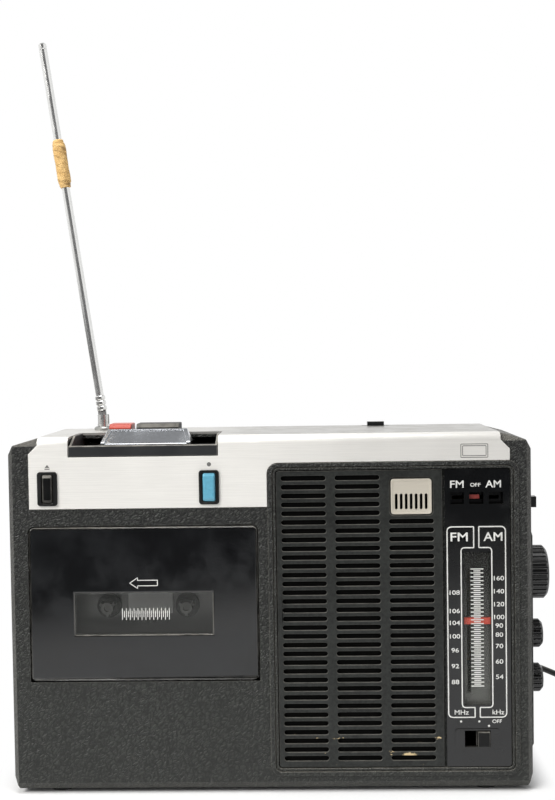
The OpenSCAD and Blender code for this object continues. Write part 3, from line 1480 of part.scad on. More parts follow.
// Tapered strain relief at the back
module strain_relief() {
    color("#1a1a1a") translate([exit_x, yb, exit_z]) rotate([-90, 0, 0]) rotate_extrude()
        polygon([[0, -wall - 1.5], [6, -wall - 1.5], [6, -wall], [4, -wall], [4, 0], [6, 0], [6, 2], [4.6, 4],
            [relief_tip_d / 2, relief_l], [0, relief_l]]);
}

// A tube of straight-sided rings along a list of points
function unit(v) = v / norm(v);
function along(p, i) = unit(p[min(i + 1, len(p) - 1)] - p[max(i - 1, 0)]);
function ring_at(p, i, r, n, phase) = let (
    t = along(p, i),
    s = unit(cross(t, [0, 0, 1])),
    u = cross(s, t)
) [for (k = [0:n - 1]) p[i] + r * (cos(360 * k / n + phase) * s + sin(360 * k / n + phase) * u)];

module tube_along(p, d, n, phase = 0) {
    m = len(p);
    points = [for (i = [0:m - 1]) each ring_at(p, i, d / 2, n, phase)];
    sides = [for (i = [0:m - 2], k = [0:n - 1], half = [0, 1]) let (a = i * n + k, b = i * n + (k + 1) % n)
        half == 0 ? [a, a + n, b] : [b, a + n, b + n]];
    ends = [for (k = [1:n - 2], e = [0, 1]) e == 0 ? [0, k, k + 1] : let (z = (m - 1) * n) [z, z + k + 1,
        z + k]];
    polyhedron(points = points, faces = concat(sides, ends));
}

// The free run, smoothed through its chosen points
function spline_point(p, i, t) = let (
    a = p[max(i - 1, 0)],
    b = p[i],
    c = p[i + 1],
    d = p[min(i + 2, len(p) - 1)]
) 0.5 * (2 * b + (c - a) * t + (2 * a - 5 * b + 4 * c - d) * t * t + (3 * b - a - 3 * c + d) * t * t * t);
run_steps = 2;
run_points = [for (i = [0:len(cord_route) - 2], k = [0:run_steps - 1]) spline_point(cord_route, i,
    k / run_steps)];
run_path = concat(run_points, [cord_route[len(cord_route) - 1]]);

module cord_run() {
    color("#1c1c1c") tube_along(run_path, cord_d, 8, 22.5);
}

// The coil: four layers that spiral in and out in turn, climbing where the spiral reverses
layer_turns = coil_turns / coil_layers;
coil_step = coil_pitch;
function smooth_step(v) = let (c = min(max(v, 0), 1)) c * c * (3 - 2 * c);
function coil_climb(t) = let (c = [for (k = [1:coil_layers - 1]) smooth_step((t - k * layer_turns) / 0.5 +
    0.5)])
    coil_pitch * (c * [for (k = [1:coil_layers - 1]) 1]);
function coil_radius(t) = let (u = t / layer_turns, f = u - 2 * floor(u / 2)) coil_r - coil_step *
    layer_turns * (f < 1 ? f : 2 - f);
function coil_point(t) = let (a = 90 - 360 * t, r = coil_radius(t))
    [coil_x + r * cos(a), coil_y + r * sin(a), coil_z + coil_climb(t)];
function tail_point(s) = let (x = coil_x - s * (coil_x - plug_x - cord_d),
    top = coil_z + coil_pitch * (coil_layers - 1),
    c = smooth_step((s - 0.2) / 0.75)) [x, coil_y - coil_r, top + (plug_z - top) * c];
coil_points = [for (i = [0:coil_turns * coil_rings]) coil_point(i / coil_rings)];
tail_points = [for (i = [1:10]) tail_point(i / 10)];
coil_path = concat([cord_start], coil_points, tail_points, [[plug_x, coil_y - coil_r, plug_z]]);
coil_last = len(coil_path) - 1;
least_gap = min([for (i = [0:coil_last], j = [i + 12:1:coil_last]) norm(coil_path[i] - coil_path[j])]) -
    cord_d;
echo(least_gap_of_the_coil_to_itself = least_gap);
function path_length(p) = let (s = [for (i = [1:len(p) - 1]) norm(p[i] - p[i - 1])]) s * [for (v = s) 1];
echo(cord_length = relief_l + path_length(run_path) + path_length(coil_path));

module cord_coil() {
    color("#1c1c1c") tube_along(coil_path, cord_d, 6);
}

// Strap round the coil
module cord_tie() {
    tie_w = 6;
    slack = 0.3;
    tie_t = 0.4;
    x0 = coil_x + coil_r - coil_step * layer_turns - cord_d / 2 - 2 * slack;
    x1 = coil_x + coil_r + cord_d / 2 + slack;
    z0 = coil_z - cord_d / 2 - 0.2;
    z1 = coil_z + coil_pitch * (coil_layers - 1) + cord_d / 2 + slack;
    color("#2a2a2a") difference() {
        box(x0 - tie_t, x1 + tie_t, coil_y - tie_w / 2, coil_y + tie_w / 2, z0 - tie_t, z1 + tie_t);
        box(x0, x1, coil_y - tie_w, coil_y + tie_w, z0, z1);
    }
}

// Two-pin mains plug lying beside the coil, with a tapered body and grip grooves
module mains_plug() {
    y = coil_y - coil_r;
    neck_l = 10;
    body_l = 22;
    body_half = 9;
    pin_l = 16;
    end = neck_l + body_l;
    broad = [[-5, neck_l], [5, neck_l], [body_half, neck_l + 5], [body_half, end - 1.4],
        [body_half - 1.4, end],
        [1.4 - body_half, end], [-body_half, end - 1.4], [-body_half, neck_l + 5]];
    narrow = [[-4.5, neck_l], [4.5, neck_l], [plug_z, neck_l + 4], [plug_z, end - 1.4], [plug_z - 1.4, end],
        [1.4 - plug_z, end], [-plug_z, end - 1.4], [-plug_z, neck_l + 4]];
    color("#1a1a1a") translate([plug_x, y, plug_z]) rotate([0, -90, 0]) difference() {
        union() {
            rotate_extrude() polygon([[0, 0], [3, 0], [4.2, neck_l + 2], [0, neck_l + 2]]);
            intersection() {
                prism_y(-body_half, body_half) polygon(narrow);
                prism_x(-plug_z, plug_z) polygon(broad);
            }
            for (side = [-1, 1]) translate([0, side * 6.5, end - over]) rotate_extrude()
                polygon([[0, 0], [2, 0], [2, pin_l], [1.2, pin_l + over], [0, pin_l + over]]);
        }
        for (i = [0:3], side = [-1, 1]) translate([side * plug_z, 0, neck_l + 8 + i * 3]) rotate([90, 0, 0])
            cylinder(d = 1.2, h = 12, center = true);
    }
}

front_case();
rear_case();
front_trim();
top_trim();
key_tray();
button_bezels();
eject_button();
record_button();
play_key();
stop_key();
wind_key();
key_shaft();
cassette_well();
cassette_door();
door_window();
deck_plate();
supply_spindle();
takeup_spindle();
flywheel();
drive_motor();
motor_pulley();
drive_belt();
head_bridge();
pinch_roller();
tape_guide();
grille_panel();
mic_grille();
speaker_frame();
speaker_cone();
dial_panel();
dial_pointer();
band_flag();
band_switch();
level_switch();
tuning_knob();
volume_knob();
tone_knob();
tuning_gang();
control_pots();
top_slider();
antenna_base();
antenna_knuckle();
antenna_tube();
antenna_middle();
antenna_tip();
antenna_tape();
battery_box();
battery_door();
battery_contacts();
main_board();
mains_transformer();
ferrite_aerial();
feet();
case_screws();
jack_block();
strain_relief();
cord_run();
cord_coil();
cord_tie();
mains_plug();
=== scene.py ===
"""Radio cassette recorder: its finishes, dial printing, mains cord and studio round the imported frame."""

import json
import logging
import math
from dataclasses import dataclass, field
from enum import Enum
from functools import cache, cached_property, reduce
from typing import ClassVar, Sequence

import bmesh
import bpy
from mathutils import Matrix, Vector

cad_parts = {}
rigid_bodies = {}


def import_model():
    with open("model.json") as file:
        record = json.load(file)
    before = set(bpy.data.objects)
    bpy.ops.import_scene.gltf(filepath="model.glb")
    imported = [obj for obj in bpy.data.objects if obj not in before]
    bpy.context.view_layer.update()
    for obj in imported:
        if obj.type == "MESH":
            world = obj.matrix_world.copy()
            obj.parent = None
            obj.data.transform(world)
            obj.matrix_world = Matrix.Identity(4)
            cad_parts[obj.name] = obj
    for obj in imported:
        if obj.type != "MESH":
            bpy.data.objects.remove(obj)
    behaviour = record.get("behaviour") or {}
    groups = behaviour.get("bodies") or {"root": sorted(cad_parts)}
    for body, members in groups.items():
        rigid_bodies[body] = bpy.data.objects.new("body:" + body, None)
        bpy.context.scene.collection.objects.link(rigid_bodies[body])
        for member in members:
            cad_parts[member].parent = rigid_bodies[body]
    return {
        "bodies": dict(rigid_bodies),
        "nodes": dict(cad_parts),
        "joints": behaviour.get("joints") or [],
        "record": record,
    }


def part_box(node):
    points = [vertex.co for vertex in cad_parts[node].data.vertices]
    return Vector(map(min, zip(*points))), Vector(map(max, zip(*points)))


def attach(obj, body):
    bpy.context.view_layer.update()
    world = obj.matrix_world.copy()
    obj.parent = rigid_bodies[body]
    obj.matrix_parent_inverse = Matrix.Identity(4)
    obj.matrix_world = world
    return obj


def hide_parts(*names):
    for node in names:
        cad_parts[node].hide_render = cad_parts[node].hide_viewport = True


log = logging.getLogger("recorder")

MM = 0.001
Point2 = tuple[float, float]
Point3 = tuple[float, float, float]
Span4 = tuple[float, float, float, float]
Colour = tuple[float, float, float, float]
Node = bpy.types.Node
Outputs = bpy.types.NodeOutputs
Socket = bpy.types.NodeSocket
Tree = bpy.types.NodeTree


def linear(code: str) -> Colour:
    """Turns red, green and blue, two hexadecimal figures each, into linear light with full cover."""
    parts = (int(code[i:i + 2], 16) / 255 for i in (0, 2, 4))
    return (*(c / 12.92 if c <= 0.04045 else ((c + 0.055) / 1.055) ** 2.4 for c in parts), 1.0)


def darker(colour: Colour, share: float) -> Colour:
    """Gives a colour with a share of its light."""
    return (colour[0] * share, colour[1] * share, colour[2] * share, 1.0)


def smooth_step(t: float) -> float:
    """Gives a soft step from 0 to 1."""
    u = min(max(t, 0.0), 1.0)
    return u * u * (3 - 2 * u)


def put(name: str, data: bpy.types.ID) -> bpy.types.Object:
    """Puts a new object into the scene.

    Args:
        name: the object's name.
        data: its mesh, curve, camera or light.

    Returns:
        The new object.
    """
    made = bpy.data.objects.new(name, data)
    bpy.context.scene.collection.objects.link(made)
    return made


def lattice(rows: Sequence[Sequence[Point3]], closed: bool = False) -> bmesh.types.BMesh:
    """Makes a shape of four-sided faces between rows of places.

    Args:
        rows: the places, as many in each row.
        closed: whether each row runs round to its start, with the first and last row capped.

    Returns:
        The new shape.
    """
    shape = bmesh.new()
    grid = [[shape.verts.new(place) for place in row] for row in rows]
    count = len(grid[0])
    for low, high in zip(grid, grid[1:]):
        for i in range(count if closed else count - 1):
            k = (i + 1) % count
            shape.faces.new((low[i], low[k], high[k], high[i]))
    if closed:
        shape.faces.new(grid[0][::-1])
        shape.faces.new(grid[-1])
    return shape


@dataclass
class Graph:
    """Short calls that make and join shader nodes in one tree."""

    tree: Tree

    @cached_property
    def shader(self) -> Node:
        """Gives the shader of a material's tree."""
        return self.tree.nodes["Principled BSDF"]

    @cached_property
    def spot(self) -> Socket:
        """Gives the place on the object."""
        return self.node("TexCoord").outputs["Object"]

    def feed(self, socket: Socket, value: object) -> None:
        """Joins a socket to the input, or sets its value.

        Args:
            socket: the input.
            value: a socket or a plain value.
        """
        if isinstance(value, Socket):
            self.tree.links.new(value, socket)
        else:
            socket.default_value = value

    def fill(self, node: Node, **inputs: object) -> None:
        """Feeds a node's inputs by name, with _ for each space."""
        for key, value in inputs.items():
            self.feed(node.inputs[key.replace("_", " ")], value)

    def node(self, kind: str, settings: dict[str, object] | None = None, **inputs: object) -> Node:
        """Makes a node.

        Args:
            kind: the node's type without its common first part.
            settings: properties of the node.
            inputs: values or sockets for its inputs, with _ for each space in a name.

        Returns:
            The new node.
        """
        made = self.tree.nodes.new("ShaderNode" + kind)
        for key, value in (settings or {}).items():
            setattr(made, key, value)
        self.fill(made, **inputs)
        return made

    def place(self, effect: Tree, **inputs: float) -> Outputs:
        """Puts a shared effect into the tree and gives its outputs."""
        return self.node("Group", {"node_tree": effect}, **inputs).outputs

    def axes(self, place: Socket | None = None) -> Outputs:
        """Splits a place or direction, or the place on the object, into X, Y and Z."""
        return self.node("SeparateXYZ", Vector=self.spot if place is None else place).outputs

    def math(self, operation: str, *values: object, kind: str = "Math") -> Socket:
        """Makes a sum without a clamp.

        Args:
            operation: the kind of sum.
            values: numbers, places or sockets, in order.
            kind: Math for numbers, VectorMath for places.

        Returns:
            The result's socket.
        """
        made = self.node(kind, {"operation": operation})
        for socket, value in zip(made.inputs, values):
            self.feed(socket, value)
        return made.outputs[0]

    def times(self, *values: object) -> Socket:
        """Multiplies numbers or sockets, in order."""
        return reduce(lambda first, second: self.math("MULTIPLY", first, second), values)

    def weigh(self, share: float, first: Socket, second: Socket) -> Socket:
        """Adds a share of one value to the rest of another."""
        return self.math("MULTIPLY_ADD", first, share, self.times(second, 1.0 - share))

    def between(self, value: Socket, low: object, high: object) -> Socket:
        """Gives 1 where a value lies between two others."""
        return self.times(self.math("GREATER_THAN", value, low), self.math("LESS_THAN", value, high))

    def reach(self, across: Socket, up: Socket) -> Socket:
        """Gives the length of a step with two parts."""
        return self.math("SQRT", self.math("ADD", self.times(across, across), self.times(up, up)))

    def ramp(self, value: object, low: float, high: float, start: object = 0.0, end: object = 1.0) -> Socket:
        """Makes a soft ramp from low to high, with results from start to end."""
        return self.node("MapRange", {"interpolation_type": "SMOOTHSTEP"}, Value=value, From_Min=low,
                         From_Max=high, To_Min=start, To_Max=end).outputs[0]

    def blend(self, share: object, first: object, second: object) -> Socket:
        """Mixes two colours.

        Args:
            share: how much of the second.
            first: colour at none.
            second: colour at all.

        Returns:
            The mixed colour's socket.
        """
        made = self.node("Mix", {"data_type": "RGBA"})
        for index, value in ((0, share), (6, first), (7, second)):
            self.feed(made.inputs[index], value)
        return made.outputs[2]

    def stretch(self, place: object, scale: Point3) -> Socket:
        """Multiplies a place by a scale for each axis."""
        return self.math("MULTIPLY", place, scale, kind="VectorMath")

    def noise(self, scale: object, detail: float, place: Socket | None = None,
              roughness: float = 0.5) -> Socket:
        """Makes cloudy noise at a place, or at the place on the object."""
        at = self.spot if place is None else place
        return self.node("TexNoise", Vector=at, Scale=scale, Detail=detail,
                         Roughness=roughness).outputs["Fac"]

    def bump(self, height: Socket, relief_mm: float) -> Socket:
        """Makes the normal of a relief."""
        return self.node("Bump", Strength=1.0, Distance=relief_mm * MM, Height=height).outputs[0]


class Effect(Graph):
    """A node group with named inputs and outputs, which finishes share."""

    def __init__(self, name: str, outputs: Sequence[str], **inputs: float) -> None:
        """Makes the group.

        Args:
            name: the effect's name.
            outputs: output names.
            inputs: usual values of the inputs, with _ for each space in a name.
        """
        super().__init__(bpy.data.node_groups.new(name, "ShaderNodeTree"))
        ends = self.tree.interface
        for key, value in inputs.items():
            made = ends.new_socket(name=key.replace("_", " "), in_out="INPUT", socket_type="NodeSocketFloat")
            made.default_value = value
        for key in outputs:
            ends.new_socket(name=key, in_out="OUTPUT", socket_type="NodeSocketFloat")
        self.given = self.tree.nodes.new("NodeGroupInput").outputs
        self.results = self.tree.nodes.new("NodeGroupOutput")

    def give(self, **results: Socket) -> Tree:
        """Joins the results to the outputs and gives the group."""
        self.fill(self.results, **results)
        return self.tree


@cache
def hide_effect() -> Tree:
    """Makes the moulded leather grain: slanting plump cells between creases of painted shade, deeper towards
    the top.

    Returns:
        The node group.
    """
    bend = 0.0022
    slant = 0.75
    cell_shape = (0.45, 0.8, 1.05)
    cell_edge = 0.34
    relief_and_shade_by_height = (0.05, 0.15, 0.7, 1.0)
    pore_share = 0.45
    cell_share = 0.6
    g = Effect("moulded hide", ("Height", "Crease"), Cells=1000.0)
    wobble = g.node("TexNoise", Vector=g.spot, Scale=380.0, Detail=2.0).outputs["Color"]
    bent = g.math("ADD", g.spot, g.stretch(wobble, (bend,) * 3), kind="VectorMath")
    spun = g.node("VectorRotate", {"rotation_type": "Y_AXIS"}, Vector=bent, Angle=slant).outputs[0]
    cells = g.node("TexVoronoi", {"feature": "DISTANCE_TO_EDGE"}, Scale=g.given["Cells"],
                   Vector=g.stretch(spun, cell_shape))
    plump = g.ramp(cells.outputs["Distance"], 0.0, cell_edge)
    pores = g.noise(1900.0, 3.0)
    # The rise with height deepens the relief and also makes the painted crease shade stronger towards the
    # top.
    depth = g.ramp(g.axes()["Z"], *relief_and_shade_by_height)
    lift = g.math("MULTIPLY_ADD", pores, pore_share, g.times(plump, depth, cell_share))
    # Crease is painted shade: creases go dark while plump tops keep the paler colour, standing in for lit
    # and shaded sides.
    return g.give(Height=lift, Crease=g.times(g.math("SUBTRACT", 1.0, plump), depth))


@cache
def fine_effect() -> Tree:
    """Makes the fine matt grain of moulded plastic, paint and rubber.

    Returns:
        The node group.
    """
    g = Effect("fine grain", ("Height", "Tone"), Cells=1800.0)
    small = g.noise(g.given["Cells"], 3.0, roughness=0.6)
    both = g.weigh(0.65, g.noise(520.0, 4.0, roughness=0.7), g.noise(45.0, 3.0))
    return g.give(Height=small, Tone=g.ramp(both, 0.36, 0.66))


@cache
def brushed_effect() -> Tree:
    """Makes the lines that brushing leaves along the width of a sheet.

    Returns:
        The node group.
    """
    long_line = (0.006, 1.0, 1.0)
    short_line = (0.02, 1.0, 1.0)
    g = Effect("brushed lines", ("Streak", "Height"), Lines=2400.0)
    broad = g.noise(g.given["Lines"], 4.0, g.stretch(g.spot, long_line), 0.65)
    fine = g.noise(5200.0, 2.0, g.stretch(g.spot, short_line))
    both = g.weigh(0.65, broad, fine)
    return g.give(Streak=g.ramp(both, 0.36, 0.64), Height=both)


@cache
def dust_and_sheen_effect() -> Tree:
    """Makes the patchy film of dust on faces that look up, which is partly a painted sheen on them.

    Returns:
        The node group.
    """
    flat_enough = (0.45, 0.95)
    patches = (0.25, 0.7, 0.35, 1.0)
    g = Effect("dust_and_sheen", ("Mask",), Film=0.2)
    flat = g.ramp(g.axes(g.node("NewGeometry").outputs["Normal"])["Z"], *flat_enough)
    cloud = g.ramp(g.noise(140.0, 5.0, roughness=0.65), *patches)
    return g.give(Mask=g.times(flat, cloud, g.given["Film"]))


@cache
def edge_highlight_effect() -> Tree:
    """Makes the mask of painted highlights on narrow slanting faces round a front, in patches, more on faces
    that look up.

    Returns:
        The node group.
    """
    less_below = (-0.3, 0.5, 0.25, 1.0)
    off_side = (0.12, 0.3)
    off_front = (0.985, 0.93)
    patches = (0.3, 0.62, 0.35, 1.0)
    g = Effect("pale edges", ("Mask",), Share=0.5)
    turned = g.axes(g.node("NewGeometry").outputs["True Normal"])
    ahead = g.times(turned["Y"], -1.0)
    upward = g.ramp(turned["Z"], *less_below)
    band = g.times(g.ramp(ahead, *off_side), g.ramp(ahead, *off_front))
    worn = g.ramp(g.noise(160.0, 4.0, roughness=0.6), *patches)
    return g.give(Mask=g.times(band, upward, worn, g.given["Share"]))


@cache
def chip_effect() -> Tree:
    """Makes the few chips along a low band, with one larger scuff at a place.

    Returns:
        The node group.
    """
    flake_shape = (0.4, 1.0, 1.0)
    scuff_half = (0.0052, 0.0019)
    g = Effect("chips", ("Mask",), Low=0.014, High=0.032, Scuff_X=0.066, Scuff_Z=0.0198)
    at = g.axes()
    flakes = g.noise(330.0, 4.0, g.stretch(g.spot, flake_shape), 0.6)
    chips = g.times(g.between(at["Z"], g.given["Low"], g.given["High"]), g.ramp(flakes, 0.668, 0.7))
    steps = [g.math("DIVIDE", g.math("SUBTRACT", at[axis], g.given["Scuff " + axis]), half)
             for axis, half in zip("XZ", scuff_half)]
    near = g.math("MULTIPLY_ADD", g.noise(900.0, 4.0), 0.9, g.math("SUBTRACT", 1.0, g.reach(*steps)))
    return g.give(Mask=g.math("MAXIMUM", chips, g.ramp(near, 0.6, 1.0)))


@cache
def smudge_effect() -> Tree:
    """Makes the uneven shine of a handled surface, between two values.

    Returns:
        The node group.
    """
    g = Effect("smudge", ("Value", "Mask"), Size=40.0, Low=0.3, High=0.5)
    mask = g.ramp(g.noise(g.given["Size"], 5.0, roughness=0.62), 0.38, 0.68)
    return g.give(Mask=mask, Value=g.ramp(mask, 0.0, 1.0, g.given["Low"], g.given["High"]))


class Grain(Enum):
    """Surface that the mould leaves, with the colour's share where hide has painted crease shade and fine
    grain darker tone.
    """

    HIDE = 0.12
    FINE = 0.45


class Working(Enum):
    """How a metal face was finished, with its lines or grains to a metre."""

    BRUSHED = 2400.0
    POLISHED = 3000.0
    CAST = 1500.0


# Dust colour, which on faces that look up is also a painted sheen.
DUST_AND_SHEEN = linear("a6a298")
# Colour of the painted highlights on slanting edge faces.
EDGE_HIGHLIGHT = linear("9a978f")
BARE_CHIP = linear("d3bd92")
SUNK_HIGH = linear("080808")
SUNK_LOW = linear("70716c")


@dataclass(frozen=True)
class Finish:
    """A named surface finish; each kind below joins its own nodes."""

    name: str
    colour: str

    def material(self) -> bpy.types.Material:
        """Gives the finish's material, made at the first call.

        Returns:
            The material.
        """
        found = bpy.data.materials.get(self.name)
        if found is None:
            found = bpy.data.materials.new(self.name)
            found.use_nodes = True
            self.join(Graph(found.node_tree))
        return found

    def join(self, g: Graph) -> None:
        """Joins the finish's nodes to the material's shader."""
        raise NotImplementedError


@dataclass(frozen=True)
class Plastic(Finish):
    """Moulded plastic, rubber or paint.

    Faces behind sunk_mm's depth lie in shade, dark at its first height and paler down to its second.
    """

    roughness: float = 0.45
    cells: float = 1800.0
    relief_mm: float = 0.03
    crease: float = 0.35
    film: float = 0.15
    specular: float = 0.5
    coat: float = 0.0
    edge_highlight: float = 0.0
    chipped: bool = False
    sunk_mm: Point3 | None = None
    grain: Grain = Grain.FINE
    shine: ClassVar[Point2] = (-0.05, 0.1)

    def join(self, g: Graph) -> None:
        """Joins grain, painted crease shade and edge highlights, chips, dust with painted sheen, and uneven
        shine to the shader.

        Args:
            g: the material's nodes.
        """
        base = linear(self.colour)
        if self.grain is Grain.HIDE:
            relief = g.place(hide_effect(), Cells=self.cells)
            hollow = relief["Crease"]
        else:
            relief = g.place(fine_effect(), Cells=self.cells)
            hollow = relief["Tone"]
        # Hide grain: painted shade in the creases. Fine grain: a darker random tone.
        colour = g.blend(g.times(hollow, self.crease), base, darker(base, self.grain.value))
        if self.edge_highlight:
            # Painted highlights on slanting edge faces.
            colour = g.blend(g.place(edge_highlight_effect(), Share=self.edge_highlight)["Mask"], colour, EDGE_HIGHLIGHT)
        if self.chipped:
            colour = g.blend(g.place(chip_effect())["Mask"], colour, BARE_CHIP)
        if self.sunk_mm:
            depth, high, low = (v * MM for v in self.sunk_mm)
            at = g.axes()
            floor = g.blend(g.ramp(at["Z"], high, low), SUNK_HIGH, SUNK_LOW)
            colour = g.blend(g.math("GREATER_THAN", at["Y"], depth), colour, floor)
        # Dust on faces that look up, partly painted sheen.
        dust_and_sheen = g.place(dust_and_sheen_effect(), Film=self.film)["Mask"]
        low, high = (self.roughness + step for step in self.shine)
        g.fill(g.shader, Base_Color=g.blend(dust_and_sheen, colour, DUST_AND_SHEEN),
               Roughness=g.place(smudge_effect(), Low=low, High=high)["Value"],
               Normal=g.bump(relief["Height"], self.relief_mm), Specular_IOR_Level=self.specular,
               Coat_Weight=self.coat)


@dataclass(frozen=True)
class Metal(Finish):
    """Bare, plated or lacquered metal, with painted shade that grows along X between two places to a share.
    """

    roughness: float = 0.25
    metallic: float = 1.0
    working: Working = Working.POLISHED
    contrast: float = 0.2
    relief_mm: float = 0.004
    film: float = 0.05
    shade_along_x: Point3 | None = None
    dark_share: ClassVar[float] = 0.6
    haze: ClassVar[float] = 0.12

    def join(self, g: Graph) -> None:
        """Joins brushing or casting marks, painted shade along X, haze, and dust with painted sheen to the
        shader.

        Args:
            g: the material's nodes.
        """
        base = linear(self.colour)
        # worn is the darker colour for the brushing streaks and for the painted shade along X.
        worn = darker(base, self.dark_share)
        if self.working is Working.BRUSHED:
            relief = g.place(brushed_effect(), Lines=self.working.value)
            tone = relief["Streak"]
        else:
            relief = g.place(fine_effect(), Cells=self.working.value)
            tone = relief["Tone"]
        metal = g.blend(g.times(tone, self.contrast), base, worn)
        # Painted shade: the metal darkens along X, standing in for light that falls off towards the right.
        if self.shade_along_x:
            start, end, share = self.shade_along_x
            metal = g.blend(g.ramp(g.axes()["X"], start * MM, end * MM, 0.0, share), metal, worn)
        # Dust on faces that look up, partly painted sheen.
        dust_and_sheen = g.place(dust_and_sheen_effect(), Film=self.film)["Mask"]
        shine = g.place(smudge_effect(), Size=70.0, Low=self.roughness, High=self.roughness + self.haze)
        g.fill(g.shader, Base_Color=g.blend(dust_and_sheen, metal, DUST_AND_SHEEN), Roughness=shine["Value"],
               Normal=g.bump(relief["Height"], self.relief_mm), Metallic=self.metallic)


@dataclass(frozen=True)
class Pane(Finish):
    """Clear or smoked sheet with a cloudy bloom, thinner in a window that reaches over X and Z."""

    cover: float = 0.6
    roughness: float = 0.06
    specular: float = 0.35
    bloom: str = "2a2c31"
    haze: float = 0.5
    edge_highlight: float = 0.0
    window_cover: float = 0.5
    window_mm: Span4 | None = None
    window_tint: ClassVar[str] = "40413f"
    dulling: ClassVar[float] = 0.1

    def join(self, g: Graph) -> None:
        """Joins the bloom, painted edge highlights and the window's clearer area to the shader.

        Args:
            g: the material's nodes.
        """
        cloud = g.place(smudge_effect(), Size=46.0, Low=self.roughness, High=self.roughness + self.dulling)
        colour = g.blend(g.times(cloud["Mask"], self.haze), linear(self.colour), linear(self.bloom))
        # Painted highlights on slanting edge faces; without a window they also stay opaque.
        edges = g.place(edge_highlight_effect(), Share=self.edge_highlight)["Mask"]
        if self.window_mm:
            x0, x1, z0, z1 = (v * MM for v in self.window_mm)
            at = g.axes()
            inside = g.times(g.between(at["X"], x0, x1), g.between(at["Z"], z0, z1))
            colour = g.blend(inside, colour, linear(self.window_tint))
            alpha = g.math("MULTIPLY_ADD", inside, self.window_cover - self.cover, self.cover)
        else:
            alpha = g.math("MAXIMUM", edges, self.cover)
        g.fill(g.shader, Base_Color=g.blend(edges, colour, EDGE_HIGHLIGHT), Roughness=cloud["Value"], Alpha=alpha,
               Specular_IOR_Level=self.specular)


@dataclass(frozen=True)
class Ink(Finish):
    """Screen-printed ink with a little wear."""

    wear: float = 0.35
    faded: float = 0.55

    def join(self, g: Graph) -> None:
        """Joins the wear to the shader.

        Args:
            g: the material's nodes.
        """
        rubbed = g.place(smudge_effect(), Size=160.0, Low=0.45, High=0.65)
        base = linear(self.colour)
        worn = g.blend(g.times(rubbed["Mask"], self.wear), base, darker(base, self.faded))
        g.fill(g.shader, Base_Color=worn, Roughness=rubbed["Value"])


@dataclass(frozen=True)
class CrepePaper(Finish):
    """Crinkled paper tape with fold lines, stained where it has been handled."""

    stain: str = "8a6238"
    fold: str = "6e4a20"
    stained: float = 0.4
    folded: float = 0.5
    relief_mm: float = 0.25
    fold_shape: Point3 = (0.3, 0.3, 1.5)
    fold_half: Point2 = (0.024, 0.004)

    def join(self, g: Graph) -> None:
        """Joins crinkles, stains and the edges of the turns to the shader.

        Args:
            g: the material's nodes.
        """
        rubbed = g.place(smudge_effect(), Size=260.0, Low=0.7, High=0.9)
        paper = g.blend(g.times(rubbed["Mask"], self.stained), linear(self.colour), linear(self.stain))
        folds = g.noise(150.0, 1.0, g.stretch(g.spot, self.fold_shape))
        off = g.math("ABSOLUTE", g.math("SUBTRACT", folds, 0.5))
        lines = g.ramp(off, *self.fold_half, 0.0, self.folded)
        g.fill(g.shader, Base_Color=g.blend(lines, paper, linear(self.fold)), Roughness=rubbed["Value"],
               Normal=g.bump(g.place(fine_effect(), Cells=900.0)["Height"], self.relief_mm))


@dataclass(frozen=True)
class WovenCloth(Finish):
    """Plain-woven cloth, with threads that cross over and under."""

    threads: float = 1500.0
    hollow: float = 0.4
    relief_mm: float = 0.12
    specular: float = 0.1

    def join(self, g: Graph) -> None:
        """Joins the weave to the shader.

        Args:
            g: the material's nodes.
        """
        at = g.axes()
        turns = [g.math("SINE", g.times(at[axis], self.threads * math.pi)) for axis in "XZ"]
        weave = g.math("MULTIPLY_ADD", g.times(*turns), 0.5, 0.5)
        base = linear(self.colour)
        worn = g.place(smudge_effect(), Size=60.0, Low=0.85, High=0.95)
        # The weave's hollows are darker as painted shade.
        g.fill(g.shader, Base_Color=g.blend(weave, darker(base, self.hollow), base), Roughness=worn["Value"],
               Normal=g.bump(weave, self.relief_mm), Specular_IOR_Level=self.specular)


# Plastics: name, colour, roughness, cells, relief_mm, crease, film, specular.
# CASE: hide grain with painted crease shade, painted edge highlights, and dust with painted sheen on faces
# that look up.
CASE = Plastic("charcoal hide", "343632", 0.4, 700.0, 0.75, 1.0, 0.28, 0.42, edge_highlight=0.3, grain=Grain.HIDE)
PANEL = Plastic("charcoal panel", "2e302e", 0.46, 900.0, 0.14, 1.0, 0.15, 0.3, edge_highlight=0.32, chipped=True)
DIAL_BLACK = Plastic("dial black", "0c0d0e", 0.2, 500.0, 0.003, 0.2, 0.1, coat=0.3, edge_highlight=0.4,
                     sunk_mm=(-37.2, 126.0, 50.0))
SATIN_BLACK = Plastic("satin black", "111212", 0.38, 2200.0, 0.012, 0.3, 0.3)
DUSTY_BLACK = Plastic("dusty black", "222426", 0.5, 1800.0, 0.02, 0.3, 0.6, edge_highlight=0.7)
KNOB_BLACK = Plastic("knob black", "060606", 0.22, 1600.0, 0.008, 0.4, 0.06, 0.6)
SWITCH_BLACK = Plastic("switch black", "0d0e0e", 0.36, 1600.0, 0.02, 0.5, 0.3, 0.25, edge_highlight=0.6)
KEY_BLACK = Plastic("key black", "0a0a0a", 0.5, 1800.0, 0.02, 0.4, 0.1, 0.15, edge_highlight=0.5)
WELL_BLACK = Plastic("well black", "313231", 0.5, 1800.0, 0.02, 0.4, 0.2)
RED = Plastic("red plastic", "bd3d25", 0.4, 1200.0, 0.006, 0.15, 0.1)
SIGNAL_RED = Plastic("signal red", "ff6650", 0.35, 1500.0, 0.006, 0.2, 0.05)
